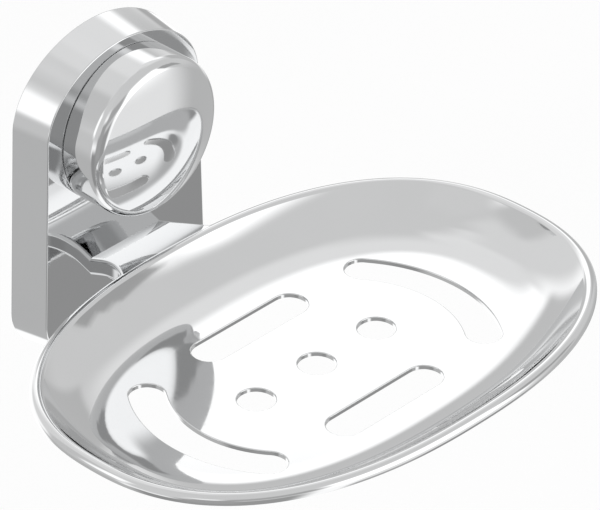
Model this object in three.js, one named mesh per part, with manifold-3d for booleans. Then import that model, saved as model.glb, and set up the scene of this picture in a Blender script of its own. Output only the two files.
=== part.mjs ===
// A wall-mounted soap dish in polished chrome: an arched hollow base with a domed
// round knob on its face, a short flared arm below the knob, and an oval tray with
// a turned-down rim, drain holes and drain slots.
//
// Millimetres. The wall plane is y = 0 and the object stands out from it towards -Y.
// X runs along the wall and Z is up. x = 0 is the centre line, and z = 0 is the middle
// of the base's height.

import * as THREE from 'three';
import { mergeVertices } from 'three/addons/utils/BufferGeometryUtils.js';
import Module from 'manifold-3d';

const wasm = await Module();
wasm.setup();

// Base shell, measured on its front outline
const base_height = 71.6;
const base_spring_width = 45.6;
const base_bottom_width = 49.4;
const base_arch_rise = 17.2;
const base_arch_power = 1.94;
const base_corner_radius = 9.0;
const base_depth = 9.6;
const base_draft = 1.4;
const base_edge_radius = 0.8;
const base_wall = 2.2;

// Wall bracket, a pressed plate with a hook above and a lip below
const bracket_sheet = 1.6;
const bracket_width = 36.0;
const bracket_corner_radius = 5.0;
const hook_width = 18.0;
const hook_height = 3.2;
const lip_width = 14.0;
const fixing_hole = 4.8;
const fixing_slot_length = 8.0;
const fixing_edge = 2.5;
const hanger_rib = 1.5;
const hook_clearance = 1.3;
const lip_clearance = 0.6;

// Set screw that locks the base onto the bracket from below
const set_screw_diameter = 4.0;
const set_screw_socket = 2.0;
const set_screw_socket_depth = 2.2;
const set_screw_recess = 0.6;
const set_screw_boss = 8.4;
const set_screw_boss_height = 2.8;

// Knob on the base's face, its centre's height a share of the base's height
const knob_height_share = 0.2095;
const knob_radius = 18.6;
const knob_side = 7.0;
const knob_shoulder = 3.0;
const knob_dome_radius = 56.0;
const knob_rear_chamfer = 0.5;
const knob_wall = 2.4;
const knob_recess_depth = 5.4;
const knob_hub_radius = 7.6;
const knob_spacer_radius = 6.8;
const knob_spacer_length = 0.6;
const knob_stud_diameter = 4.0;
const knob_stud_grip = 6.4;
const knob_stud_end = 0.8;
const knob_washer_diameter = 9.0;
const knob_washer_thickness = 0.8;
const knob_nut_flats = 7.0;
const knob_nut_height = 3.2;

// Dish, an oval pressed tray with a rolled lip and a short skirt, its lip's centre
// below the middle of the base by a share of the base's height
const dish_length = 135.0;
const dish_width = 92.2;
const dish_power = 2.36;
const dish_sheet = 1.2;
const dish_lip_radius = 1.6;
const dish_wall_angle = 50.0;
const dish_depth = 8.58;
const dish_bowl_run = 20.0;
const dish_skirt_drop = 0.6;
const dish_lip_share = 0.1896;
const dish_reach = 66.9;

// Drain holes and slots in the dish floor
const drain_hole = 8.4;
const drain_hole_pitch = 18.6;
const drain_hole_count = 3;
const slot_width = 8.2;
const slot_length = 32.8;
const slot_offset = 19.7;
const curved_slot_width = 8.0;
const curved_slot_reach = 39.3;
const curved_slot_chord = 35.6;
const curved_slot_bulge = 6.0;

// Support arm between the base and the dish, its flare's radius a share of its run
const arm_width = 22.0;
const arm_thickness = 4.4;
const arm_rise = 3.13;
const arm_straight = 3.0;
const arm_flare_share = 1.3;
const arm_edge_radius = 1.1;
const arm_stem_width = 9.4;
const arm_stem_depth = 8.6;
const arm_pad_width = 24.0;
const arm_pad_length = 12.5;
const arm_pad_setback = 3.0;
const arm_pip_diameter = 2.2;
const arm_pip_length = 1.5;
const arm_pip_pitch = 16.0;

// Screw that holds the arm to the base from inside
const arm_screw_diameter = 5.0;
const arm_screw_grip = 7.6;
const arm_screw_head = 8.5;
const arm_screw_head_height = 2.6;
const arm_screw_socket = 3.0;
const arm_screw_socket_depth = 1.7;
const arm_washer_diameter = 10.0;
const arm_washer_thickness = 1.0;
const arm_spring_washer_diameter = 9.0;
const arm_spring_washer_thickness = 1.2;
const arm_spring_washer_split = 1.0;
const arm_spring_washer_lean = 20.0;

// Studs that hold the dish to the arm's pad
const dish_stud_diameter = 4.0;
const dish_stud_pitch = 14.0;
const dish_stud_pad_share = 0.58;
const dish_stud_end = 0.8;
const dish_washer_diameter = 8.0;
const dish_washer_thickness = 0.8;
const dish_nut_flats = 7.0;
const dish_nut_height = 3.2;

// Gaps and overruns
const seat_gap = 0.3;
const bore_gap = 0.3;
const cut_overrun = 3.0;

// Steps of the round forms
const small_round_steps = 20;
const knob_steps = 48;
const dish_steps = 72;
const dish_wall_steps = 6;
const lip_steps = 6;
const lip_inside_steps = 3;
const arch_steps = 18;
const corner_steps = 5;
const edge_steps = 3;
const shoulder_steps = 4;
const dome_steps = 5;
const slot_steps = 12;
const arm_steps = 8;
// Over one, this gathers the bowl's steps near the lip, where it bends most
const bowl_step_power = 1.15;

// Heights and reaches that follow from the sizes above
const base_bottom_z = -base_height / 2;
const base_top_z = base_height / 2;
const base_spring_z = base_top_z - base_arch_rise;
const face_y = -base_depth;
const face_back = base_depth - base_wall;
const face_back_y = -face_back;
const knob_height = base_height * knob_height_share;
const bracket_top_z = knob_height + knob_washer_diameter / 2 + hook_clearance + bracket_sheet;
const fixing_x = bracket_width / 2 - fixing_edge - fixing_slot_length / 2;
const hook_channel = hanger_rib + 2 * seat_gap;
const set_screw_y = -(face_back + bracket_sheet) / 2;
const knob_rear = base_depth + knob_spacer_length;
const dish_rear_y = -(dish_reach - dish_width / 2);
const dish_lip_height = -base_height * dish_lip_share;
const lip_top_z = dish_lip_height + dish_lip_radius;
const dish_floor_z = lip_top_z - dish_depth;
const arm_root_top_z = lip_top_z - arm_rise;
const arm_stem_bottom_z = arm_root_top_z - arm_stem_depth;
const arm_screw_z = arm_root_top_z - arm_stem_depth / 2;
const bracket_lip_top_z = arm_screw_z - arm_washer_diameter / 2 - lip_clearance;
const bracket_bottom_z = bracket_lip_top_z - bracket_sheet;
const arm_pip_z = arm_root_top_z - arm_thickness / 2;
const arm_pip_places = [-arm_pip_pitch / 2, arm_pip_pitch / 2];
const arm_run = -dish_rear_y - base_depth + dish_lip_radius;
const arm_flare_radius = arm_run * arm_flare_share;
const arm_pad_start_y = dish_rear_y - arm_pad_setback;
const dish_stud_y = arm_pad_start_y - arm_pad_length * dish_stud_pad_share;
const dish_stud_places = [-dish_stud_pitch / 2, dish_stud_pitch / 2];
const arm_washer_start = face_back - arm_washer_thickness;
const arm_spring_washer_start = arm_washer_start - arm_spring_washer_thickness;
const knob_washer_start = face_back - knob_washer_thickness;
const knob_nut_start = knob_washer_start - knob_nut_height;
const dish_washer_bottom_z = arm_stem_bottom_z - dish_washer_thickness;
const dish_nut_bottom_z = dish_washer_bottom_z - dish_nut_height;

// Solids for cutting and joining

function flatTriangles(index) {
  const kept = [];
  for (let i = 0; i < index.length; i += 3) {
    const [a, b, c] = [index[i], index[i + 1], index[i + 2]];
    if (a !== b && b !== c && c !== a) kept.push(a, b, c);
  }
  return kept;
}

function toSolid(geometry) {
  const bare = geometry.clone();
  bare.deleteAttribute('normal');
  bare.deleteAttribute('uv');
  const merged = mergeVertices(bare);
  const triVerts = new Uint32Array(flatTriangles(merged.index.array));
  const vertProperties = new Float32Array(merged.attributes.position.array);
  return new wasm.Manifold(new wasm.Mesh({ numProp: 3, vertProperties, triVerts }));
}

function toGeometry(solid) {
  const mesh = solid.getMesh();
  const geometry = new THREE.BufferGeometry();
  geometry.setAttribute('position', new THREE.BufferAttribute(mesh.vertProperties, 3));
  geometry.setIndex(new THREE.BufferAttribute(mesh.triVerts, 1));
  geometry.computeVertexNormals();
  return geometry;
}

function cut(geometry, tools) {
  let solid = toSolid(geometry);
  for (const tool of tools) solid = solid.subtract(toSolid(tool));
  return toGeometry(solid);
}

function join(geometries) {
  let solid = toSolid(geometries[0]);
  for (const other of geometries.slice(1)) solid = solid.add(toSolid(other));
  return toGeometry(solid);
}

// Six times the volume that the triangles enclose, below zero when they face inwards
function signedVolume(points, triangles) {
  let sum = 0;
  for (let i = 0; i < triangles.length; i += 3) {
    const [a, b, c] = [points[triangles[i]], points[triangles[i + 1]], points[triangles[i + 2]]];
    sum += a.dot(new THREE.Vector3().crossVectors(b, c));
  }
  return sum;
}

// A closed skin over rings of points, with a flat cap on the first and the last ring
function loft(rings) {
  const sides = rings[0].length;
  const points = rings.flat();
  const triangles = [];
  for (let ring = 0; ring < rings.length - 1; ring += 1) {
    for (let side = 0; side < sides; side += 1) {
      const next = (side + 1) % sides;
      const [a, b] = [ring * sides + side, ring * sides + next];
      const [c, d] = [a + sides, b + sides];
      triangles.push(a, b, d, a, d, c);
    }
  }
  const caps = [{ first: 0, turn: false }, { first: (rings.length - 1) * sides, turn: true }];
  for (const { first, turn } of caps) {
    const centre = new THREE.Vector3();
    for (let side = 0; side < sides; side += 1) centre.add(points[first + side]);
    const middle = points.push(centre.divideScalar(sides)) - 1;
    for (let side = 0; side < sides; side += 1) {
      const [a, b] = [first + side, first + (side + 1) % sides];
      triangles.push(middle, ...(turn ? [a, b] : [b, a]));
    }
  }
  if (signedVolume(points, triangles) < 0) triangles.reverse();
  const geometry = new THREE.BufferGeometry().setFromPoints(points);
  geometry.setIndex(triangles);
  geometry.computeVertexNormals();
  return geometry;
}

// Points on an arc, with both ends
function arcPoints(centre_x, centre_y, radius, start, end, steps) {
  return Array.from({ length: steps + 1 }, (_, i) => {
    const angle = start + (end - start) * i / steps;
    return new THREE.Vector2(centre_x + radius * Math.cos(angle), centre_y + radius * Math.sin(angle));
  });
}

// A turned piece about the Y axis: each profile point is (radius, distance from the wall)
function turnedFromWall(profile, steps) {
  return new THREE.LatheGeometry(profile, steps).rotateX(Math.PI);
}

// A turned piece about the Z axis: each profile point is (radius, height)
function turnedUpright(profile, steps) {
  return new THREE.LatheGeometry(profile, steps).rotateX(Math.PI / 2);
}

// The profile of a plain rod from one end to the other
function rodProfile(radius, start, end) {
  return [[0, start], [radius, start], [radius, end], [0, end]].map(([r, h]) => new THREE.Vector2(r, h));
}

// The closed profile of a ring
function ringProfile(inner, outer, start, end) {
  const corners = [[inner, start], [outer, start], [outer, end], [inner, end], [inner, start]];
  return corners.map(([r, h]) => new THREE.Vector2(r, h));
}

// A box between two corners
function boxBetween(low, high) {
  const size = high.map((value, i) => value - low[i]);
  const centre = high.map((value, i) => (value + low[i]) / 2);
  return new THREE.BoxGeometry(...size).translate(...centre);
}

// A shape drawn in X and Z, made thick from the wall plane towards -Y
function extrudedFromWall(shape, depth) {
  return new THREE.ExtrudeGeometry(shape, { depth, bevelEnabled: false, curveSegments: corner_steps })
    .rotateX(Math.PI / 2);
}

// A shape drawn in X and Y, made thick upwards from z = 0
function extrudedUpwards(shape, depth, curveSegments = corner_steps) {
  return new THREE.ExtrudeGeometry(shape, { depth, bevelEnabled: false, curveSegments });
}

// A rectangle with round corners about the middle of its sides
function roundedRectangle(left, bottom, right, top, radius) {
  const shape = new THREE.Shape();
  shape.absarc(right - radius, bottom + radius, radius, -Math.PI / 2, 0);
  shape.absarc(right - radius, top - radius, radius, 0, Math.PI / 2);
  shape.absarc(left + radius, top - radius, radius, Math.PI / 2, Math.PI);
  shape.absarc(left + radius, bottom + radius, radius, Math.PI, Math.PI * 3 / 2);
  shape.closePath();
  return shape;
}

// A slot with round ends along X, about (centre_x, centre_y)
function straightSlot(centre_x, centre_y, length, width) {
  const half = (length - width) / 2;
  const shape = new THREE.Shape();
  shape.absarc(centre_x + half, centre_y, width / 2, -Math.PI / 2, Math.PI / 2);
  shape.absarc(centre_x - half, centre_y, width / 2, Math.PI / 2, Math.PI * 3 / 2);
  shape.closePath();
  return shape;
}

// A hexagon by its width across flats
function hexagon(across_flats) {
  const radius = across_flats / Math.sqrt(3);
  return new THREE.Shape(arcPoints(0, 0, radius, 0, 2 * Math.PI, 6).slice(0, -1));
}

// Fasteners about the Z axis, standing on z = 0

function washer(bore, diameter, thickness) {
  return turnedUpright(ringProfile(bore / 2, diameter / 2, 0, thickness), small_round_steps);
}

function hexNut(across_flats, bore, height) {
  const shape = hexagon(across_flats);
  shape.holes.push(new THREE.Path().absarc(0, 0, bore / 2, 0, 2 * Math.PI, true));
  return extrudedUpwards(shape, height, small_round_steps / 2);
}

// A piece built about the Z axis, laid so that its +Z points away from the wall
function facingRoom(geometry, x, distance, z) {
  return geometry.rotateX(Math.PI / 2).translate(x, -distance, z);
}

// Base shell

// The base's front outline in X and Z, grown by an offset, as points at distance y from the wall
function baseRing(grow, y) {
  const spring_half = base_spring_width / 2 + grow;
  const bottom_half = base_bottom_width / 2 + grow;
  const bottom = base_bottom_z - grow;
  const radius = base_corner_radius + grow;
  const corner_lean = (bottom_half - spring_half) * radius / (base_spring_z - bottom);
  const right = arcPoints(bottom_half - radius, bottom + radius, radius, -Math.PI / 2, 0, corner_steps)
    .map((point) => new THREE.Vector2(point.x - corner_lean * (point.y - bottom) / radius, point.y));
  const arch = Array.from({ length: arch_steps + 1 }, (_, i) => {
    const angle = Math.PI / 2 * i / arch_steps;
    return new THREE.Vector2(
      spring_half * Math.cos(angle) ** (2 / base_arch_power),
      base_spring_z + (base_arch_rise + grow) * Math.sin(angle) ** (2 / base_arch_power),
    );
  });
  arch[arch_steps].x = 0;
  const half = [...right, ...arch];
  const mirrored = half.slice(0, -1).reverse().map((point) => new THREE.Vector2(-point.x, point.y));
  return [...half, ...mirrored].map((point) => new THREE.Vector3(point.x, y, point.y));
}

function makeBaseShell() {
  const side_end = base_depth - base_edge_radius;
  const side_grow = base_draft * base_edge_radius / base_depth;
  const edge = arcPoints(side_grow - base_edge_radius, side_end, base_edge_radius, 0, Math.PI / 2, edge_steps);
  const outer = loft([baseRing(base_draft, 0), ...edge.map((point) => baseRing(point.x, -point.y))]);
  const draft_per_depth = base_draft / base_depth;
  const hollow = loft([
    baseRing(base_draft - base_wall + draft_per_depth * cut_overrun, cut_overrun),
    baseRing(base_draft - base_wall - draft_per_depth * face_back, face_back_y),
  ]);
  const rib_back = bracket_sheet + seat_gap;
  const rib = boxBetween(
    [-hook_width / 2 + seat_gap, -(rib_back + hanger_rib), bracket_top_z + seat_gap],
    [hook_width / 2 - seat_gap, -rib_back, base_top_z - base_wall / 2],
  );
  const rib_web = boxBetween(
    [-hanger_rib / 2, face_back_y - base_wall / 2, bracket_top_z + hook_height + seat_gap],
    [hanger_rib / 2, -rib_back, base_top_z - base_wall / 2],
  );
  const boss_top = base_bottom_z + base_wall + set_screw_boss_height;
  const boss = turnedUpright(
    rodProfile(set_screw_boss / 2, base_bottom_z + base_wall / 2, boss_top),
    small_round_steps,
  ).translate(0, set_screw_y, 0);
  const body = join([cut(outer, [hollow]), rib, rib_web, boss]);
  const set_screw_bore = turnedUpright(
    rodProfile(set_screw_diameter / 2 + bore_gap, base_bottom_z - cut_overrun, bracket_bottom_z),
    small_round_steps,
  ).translate(0, set_screw_y, 0);
  const pip_bores = arm_pip_places.map((x) => throughFace(arm_pip_diameter, x, arm_pip_z));
  return cut(body, [
    set_screw_bore,
    throughFace(knob_stud_diameter, 0, knob_height),
    throughFace(arm_screw_diameter, 0, arm_screw_z),
    ...pip_bores,
  ]);
}

// A bore through the base's face for a round piece
function throughFace(diameter, x, z) {
  const rod = rodProfile(diameter / 2 + bore_gap, face_back - cut_overrun, base_depth + cut_overrun);
  return turnedFromWall(rod, small_round_steps).translate(x, 0, z);
}

// Wall bracket

function makeWallBracket() {
  const outline = roundedRectangle(
    -bracket_width / 2, bracket_bottom_z, bracket_width / 2, bracket_top_z, bracket_corner_radius,
  );
  const plate = extrudedFromWall(outline, bracket_sheet);
  const tab_back = bracket_sheet + hook_channel;
  const hook_front = tab_back + bracket_sheet;
  const hook_top = bracket_top_z + hook_height;
  const hook_leg = boxBetween(
    [-hook_width / 2, -hook_front, bracket_top_z - bracket_sheet],
    [hook_width / 2, -bracket_sheet / 2, bracket_top_z],
  );
  const hook_tab = boxBetween(
    [-hook_width / 2, -hook_front, bracket_top_z - bracket_sheet],
    [hook_width / 2, -tab_back, hook_top],
  );
  const tab_relief = boxBetween(
    [-hanger_rib / 2 - seat_gap, -hook_front - cut_overrun, bracket_top_z + hook_height / 2],
    [hanger_rib / 2 + seat_gap, cut_overrun - tab_back, hook_top + cut_overrun],
  );
  const lip = boxBetween(
    [-lip_width / 2, face_back_y + seat_gap, bracket_bottom_z],
    [lip_width / 2, -bracket_sheet / 2, bracket_lip_top_z],
  );
  const fixing_slots = [-fixing_x, fixing_x].map((x) => (
    extrudedFromWall(straightSlot(x, 0, fixing_slot_length, fixing_hole), bracket_sheet + 2 * cut_overrun)
      .translate(0, cut_overrun, 0)
  ));
  return cut(join([plate, hook_leg, hook_tab, lip]), [tab_relief, ...fixing_slots]);
}

// Set screw

function makeSetScrew() {
  const bottom = base_bottom_z + set_screw_recess;
  const top = bracket_bottom_z - seat_gap;
  const body = turnedUpright(rodProfile(set_screw_diameter / 2, bottom, top), small_round_steps);
  const socket = extrudedUpwards(hexagon(set_screw_socket), set_screw_socket_depth + cut_overrun)
    .translate(0, 0, bottom - cut_overrun);
  return cut(body, [socket]).translate(0, set_screw_y, 0);
}

// Knob

function makeKnobCap() {
  const shoulder_centre = knob_radius - knob_shoulder;
  const side_end = knob_rear + knob_side;
  // The dome's arc meets the shoulder's arc where both have the same slope
  const lean = Math.asin(shoulder_centre / (knob_dome_radius - knob_shoulder));
  const shoulder = arcPoints(shoulder_centre, side_end, knob_shoulder, 0, Math.PI / 2 - lean, shoulder_steps);
  const dome_centre = side_end - (knob_dome_radius - knob_shoulder) * Math.cos(lean);
  const dome_start = Math.PI / 2 - lean;
  const dome = arcPoints(0, dome_centre, knob_dome_radius, dome_start, Math.PI / 2, dome_steps).slice(1);
  dome[dome.length - 1].x = 0;
  const rim_inner = knob_radius - knob_wall;
  const outside = [
    new THREE.Vector2(0, knob_rear),
    new THREE.Vector2(knob_hub_radius, knob_rear),
    new THREE.Vector2(knob_hub_radius, knob_rear + knob_recess_depth),
    new THREE.Vector2(rim_inner, knob_rear + knob_recess_depth),
    new THREE.Vector2(rim_inner, knob_rear),
    new THREE.Vector2(knob_radius - knob_rear_chamfer, knob_rear),
    new THREE.Vector2(knob_radius, knob_rear + knob_rear_chamfer),
    ...shoulder,
    ...dome,
  ];
  const bore_end = knob_rear + knob_stud_grip + seat_gap;
  const bore = rodProfile(knob_stud_diameter / 2 + bore_gap, knob_rear - cut_overrun, bore_end);
  return cut(turnedFromWall(outside, knob_steps), [turnedFromWall(bore, small_round_steps)])
    .translate(0, 0, knob_height);
}

function makeKnobSpacer() {
  const ring = ringProfile(knob_stud_diameter / 2 + bore_gap, knob_spacer_radius, base_depth, knob_rear);
  return turnedFromWall(ring, knob_steps / 2).translate(0, 0, knob_height);
}

function makeKnobStud() {
  const rod = rodProfile(knob_stud_diameter / 2, knob_nut_start - knob_stud_end, knob_rear + knob_stud_grip);
  return turnedFromWall(rod, small_round_steps).translate(0, 0, knob_height);
}

function makeKnobWasher() {
  const ring = washer(knob_stud_diameter + 2 * bore_gap, knob_washer_diameter, knob_washer_thickness);
  return facingRoom(ring, 0, knob_washer_start, knob_height);
}

function makeKnobNut() {
  const nut = hexNut(knob_nut_flats, knob_stud_diameter + 2 * bore_gap, knob_nut_height);
  return facingRoom(nut, 0, knob_nut_start, knob_height);
}

// Dish

// The oval at a distance in from the dish's outer edge
function dishRing(inset, height) {
  const [half_length, half_width] = [dish_length / 2 - inset, dish_width / 2 - inset];
  return Array.from({ length: dish_steps }, (_, i) => {
    const angle = 2 * Math.PI * i / dish_steps;
    const [across, along] = [Math.cos(angle), Math.sin(angle)];
    return new THREE.Vector3(
      half_length * Math.sign(across) * Math.abs(across) ** (2 / dish_power),
      -dish_reach + half_width * Math.sign(along) * Math.abs(along) ** (2 / dish_power),
      dish_lip_height + height,
    );
  });
}

const wall_angle = THREE.MathUtils.degToRad(dish_wall_angle);
const bowl_start = dish_lip_radius * (1 + Math.sin(wall_angle));
const bowl_start_height = dish_lip_radius * Math.cos(wall_angle);
const floor_height = dish_lip_radius - dish_depth;
const bowl_drop = bowl_start_height - floor_height;
// The bowl leaves the lip at the wall's angle and runs out level with the floor
const bowl_power = Math.tan(wall_angle) * (dish_bowl_run - bowl_start) / bowl_drop;

// A point of the bowl's section: its share of the run, at a depth under the top surface
function bowlPoint(share, under) {
  const left = 1 - share;
  const slope = Math.tan(wall_angle) * left ** (bowl_power - 1);
  const lean = Math.atan(slope);
  const inset = bowl_start + (dish_bowl_run - bowl_start) * share;
  const height = floor_height + bowl_drop * left ** bowl_power;
  return new THREE.Vector2(inset - under * Math.sin(lean), height - under * Math.cos(lean));
}

// The bowl's section from the lip to the floor, closer together where it bends
function bowlSection(under) {
  const steps = Array.from({ length: dish_wall_steps + 1 }, (_, i) => i / dish_wall_steps);
  return steps.map((step) => bowlPoint(step ** bowl_step_power, under));
}

// The lip's section about its own centre, from the skirt over the top to an inner angle
function lipSection(radius, inner_angle, steps) {
  return arcPoints(dish_lip_radius, 0, radius, Math.PI, Math.PI / 2 - inner_angle, steps);
}

function makeDish() {
  const section = [
    ...bowlSection(dish_sheet).reverse(),
    ...lipSection(dish_lip_radius - dish_sheet, wall_angle, lip_inside_steps).reverse().slice(1),
    new THREE.Vector2(dish_sheet, -dish_skirt_drop),
    new THREE.Vector2(0, -dish_skirt_drop),
    ...lipSection(dish_lip_radius, wall_angle, lip_steps),
    ...bowlSection(0).slice(1),
  ];
  const tray = loft(section.map((point) => dishRing(point.x, point.y)));
  return cut(tray, drainCuts());
}

// A filled tray that stands a gap outside the dish, for cutting what touches it
function dishEnvelope() {
  const top = new THREE.Vector2(dish_lip_radius, dish_lip_radius + seat_gap + cut_overrun);
  const section = [
    ...bowlSection(dish_sheet + seat_gap).reverse().filter((point) => point.y < -dish_skirt_drop - seat_gap),
    new THREE.Vector2(dish_sheet + dish_lip_radius, -dish_skirt_drop - seat_gap),
    new THREE.Vector2(-seat_gap, -dish_skirt_drop - seat_gap),
    ...lipSection(dish_lip_radius + seat_gap, 0, lip_steps),
    top,
  ];
  return loft(section.map((point) => dishRing(point.x, point.y)));
}

// A curved slot's outline in plan: a band of even width along an arc that bulges to one side
function curvedSlot(side) {
  const arc_radius = (curved_slot_chord ** 2 / 4 + curved_slot_bulge ** 2) / (2 * curved_slot_bulge);
  const half_turn = Math.asin(curved_slot_chord / 2 / arc_radius);
  const centre_x = curved_slot_reach - arc_radius;
  const half = curved_slot_width / 2;
  const [end_x, end_y] = [centre_x + arc_radius * Math.cos(half_turn), arc_radius * Math.sin(half_turn)];
  const points = [
    ...arcPoints(centre_x, 0, arc_radius + half, -half_turn, half_turn, slot_steps),
    ...arcPoints(end_x, end_y, half, half_turn, half_turn + Math.PI, slot_steps).slice(1, -1),
    ...arcPoints(centre_x, 0, arc_radius - half, half_turn, -half_turn, slot_steps),
    ...arcPoints(end_x, -end_y, half, Math.PI - half_turn, 2 * Math.PI - half_turn, slot_steps).slice(1, -1),
  ];
  const turned = points.map((point) => new THREE.Vector2(side * point.x, point.y - dish_reach));
  return new THREE.Shape(turned);
}

function drainCuts() {
  const first_hole = -(drain_hole_count - 1) / 2;
  const holes = Array.from({ length: drain_hole_count }, (_, i) => (
    straightSlot((first_hole + i) * drain_hole_pitch, -dish_reach, drain_hole, drain_hole)
  ));
  const slots = [-1, 1].map((side) => (
    straightSlot(0, -dish_reach + side * slot_offset, slot_length, slot_width)
  ));
  const curved = [-1, 1].map(curvedSlot);
  const depth = dish_sheet + 2 * cut_overrun;
  return [...holes, ...slots, ...curved].map((shape) => (
    extrudedUpwards(shape, depth, slot_steps).translate(0, 0, dish_floor_z - dish_sheet - cut_overrun)
  ));
}

// Support arm

// Half the arm's width at a distance out from the base's face
function armHalfWidth(distance) {
  const past = Math.max(distance - arm_straight, 0);
  const turn = Math.min(past / arm_flare_radius, 1);
  return arm_width / 2 + arm_flare_radius * (1 - Math.sqrt(1 - turn ** 2));
}

// The arm's top at a distance out from the base's face, level where it meets the lip
function armTop(distance) {
  const share = Math.min(distance / arm_run, 1);
  return arm_root_top_z + arm_rise * Math.sin(share * Math.PI / 2);
}

// The arm's cross-section with rounded upper edges
function armRing(distance) {
  const [half, top] = [armHalfWidth(distance), armTop(distance)];
  const [bottom, radius] = [top - arm_thickness, arm_edge_radius];
  const right = [
    ...arcPoints(half - radius, bottom + radius, radius, -Math.PI / 2, 0, edge_steps),
    ...arcPoints(half - radius, top - radius, radius, 0, Math.PI / 2, edge_steps),
  ];
  const left = right.map((point) => new THREE.Vector2(-point.x, point.y)).reverse();
  return [...right, ...left].map((point) => new THREE.Vector3(point.x, face_y - distance, point.y));
}

function makeSupportArm() {
  const reach = arm_run + dish_lip_radius;
  const rings = Array.from({ length: arm_steps + 1 }, (_, i) => armRing(reach * i / arm_steps));
  const neck = loft(rings);
  const stem = boxBetween(
    [-arm_stem_width / 2, arm_pad_start_y - arm_pad_length / 2, arm_stem_bottom_z],
    [arm_stem_width / 2, face_y, arm_root_top_z - arm_thickness / 2],
  );
  const pad_shape = roundedRectangle(
    -arm_pad_width / 2, arm_pad_start_y - arm_pad_length, arm_pad_width / 2, arm_pad_start_y, arm_pad_setback,
  );
  const pad_height = arm_root_top_z - arm_stem_bottom_z;
  const pad = extrudedUpwards(pad_shape, pad_height).translate(0, 0, arm_stem_bottom_z);
  const pips = arm_pip_places.map((x) => {
    const rod = rodProfile(arm_pip_diameter / 2, base_depth - arm_pip_length, base_depth + arm_edge_radius);
    return turnedFromWall(rod, small_round_steps).translate(x, 0, arm_pip_z);
  });
  const screw_rod = rodProfile(
    arm_screw_diameter / 2 + bore_gap, base_depth - cut_overrun, base_depth + arm_screw_grip + seat_gap,
  );
  const screw_bore = turnedFromWall(screw_rod, small_round_steps).translate(0, 0, arm_screw_z);
  const stud_rod = rodProfile(
    dish_stud_diameter / 2 + bore_gap, arm_stem_bottom_z - cut_overrun, lip_top_z,
  );
  const stud_bores = dish_stud_places.map((x) => (
    turnedUpright(stud_rod, small_round_steps).translate(x, dish_stud_y, 0)
  ));
  return cut(join([neck, stem, pad, ...pips]), [dishEnvelope(), screw_bore, ...stud_bores]);
}

// Arm screw and its washers, stacked on the inside of the base's face

function makeArmScrew() {
  const head = arm_screw_head / 2;
  const shank = arm_screw_diameter / 2;
  const [head_start, head_end] = [arm_spring_washer_start - arm_screw_head_height, arm_spring_washer_start];
  const tip = base_depth + arm_screw_grip;
  const profile = [
    ...rodProfile(head, head_start, head_end).slice(0, -1),
    ...rodProfile(shank, head_end, tip).slice(1),
  ];
  const body = turnedFromWall(profile, small_round_steps);
  const socket = facingRoom(
    extrudedUpwards(hexagon(arm_screw_socket), arm_screw_socket_depth + cut_overrun),
    0, head_start - cut_overrun, 0,
  );
  return cut(body, [socket]).translate(0, 0, arm_screw_z);
}

function makeArmWasher() {
  const ring = washer(arm_screw_diameter + 2 * bore_gap, arm_washer_diameter, arm_washer_thickness);
  return facingRoom(ring, 0, arm_washer_start, arm_screw_z);
}

function makeArmSpringWasher() {
  const bore = arm_screw_diameter + 2 * bore_gap;
  const ring = washer(bore, arm_spring_washer_diameter, arm_spring_washer_thickness);
  const split = boxBetween(
    [0, -arm_spring_washer_split / 2, -cut_overrun],
    [arm_spring_washer_diameter, arm_spring_washer_split / 2, arm_spring_washer_thickness + cut_overrun],
  ).rotateX(THREE.MathUtils.degToRad(arm_spring_washer_lean));
  return facingRoom(cut(ring, [split]), 0, arm_spring_washer_start, arm_screw_z);
}

// Dish studs, washers and nuts, from the bowl's underside down through the arm's pad

function makeDishStud(x) {
  const rod = rodProfile(dish_stud_diameter / 2, dish_nut_bottom_z - dish_stud_end, lip_top_z);
  return cut(turnedUpright(rod, small_round_steps).translate(x, dish_stud_y, 0), [dishEnvelope()]);
}

function makeDishWasher(x) {
  return washer(dish_stud_diameter + 2 * bore_gap, dish_washer_diameter, dish_washer_thickness)
    .translate(x, dish_stud_y, dish_washer_bottom_z);
}

function makeDishNut(x) {
  return hexNut(dish_nut_flats, dish_stud_diameter + 2 * bore_gap, dish_nut_height)
    .translate(x, dish_stud_y, dish_nut_bottom_z);
}

// Finishes

const finishes = {
  chrome: { color: 0xd9dbdc, roughness: 0.06, metalness: 1.0 },
  zinc_plate: { color: 0xa9adb0, roughness: 0.38, metalness: 1.0 },
  stainless: { color: 0x9fa1a3, roughness: 0.28, metalness: 1.0 },
};

// Assembly

const soap_dish = new THREE.Group();

function addPiece(name, geometry, finish) {
  const mesh = new THREE.Mesh(geometry, new THREE.MeshStandardMaterial(finishes[finish]));
  mesh.name = name;
  soap_dish.add(mesh);
}

addPiece('base_shell', makeBaseShell(), 'chrome');
addPiece('wall_bracket', makeWallBracket(), 'zinc_plate');
addPiece('set_screw', makeSetScrew(), 'stainless');

addPiece('knob_cap', makeKnobCap(), 'chrome');
addPiece('knob_spacer', makeKnobSpacer(), 'chrome');
addPiece('knob_stud', makeKnobStud(), 'zinc_plate');
addPiece('knob_washer', makeKnobWasher(), 'zinc_plate');
addPiece('knob_nut', makeKnobNut(), 'zinc_plate');

addPiece('support_arm', makeSupportArm(), 'chrome');
addPiece('arm_screw', makeArmScrew(), 'zinc_plate');
addPiece('arm_washer', makeArmWasher(), 'zinc_plate');
addPiece('arm_spring_washer', makeArmSpringWasher(), 'zinc_plate');

addPiece('dish', makeDish(), 'chrome');
for (const [side, x] of [['left', dish_stud_places[0]], ['right', dish_stud_places[1]]]) {
  addPiece(`dish_stud_${side}`, makeDishStud(x), 'stainless');
  addPiece(`dish_washer_${side}`, makeDishWasher(x), 'zinc_plate');
  addPiece(`dish_nut_${side}`, makeDishNut(x), 'zinc_plate');
}

export default soap_dish;
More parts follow.
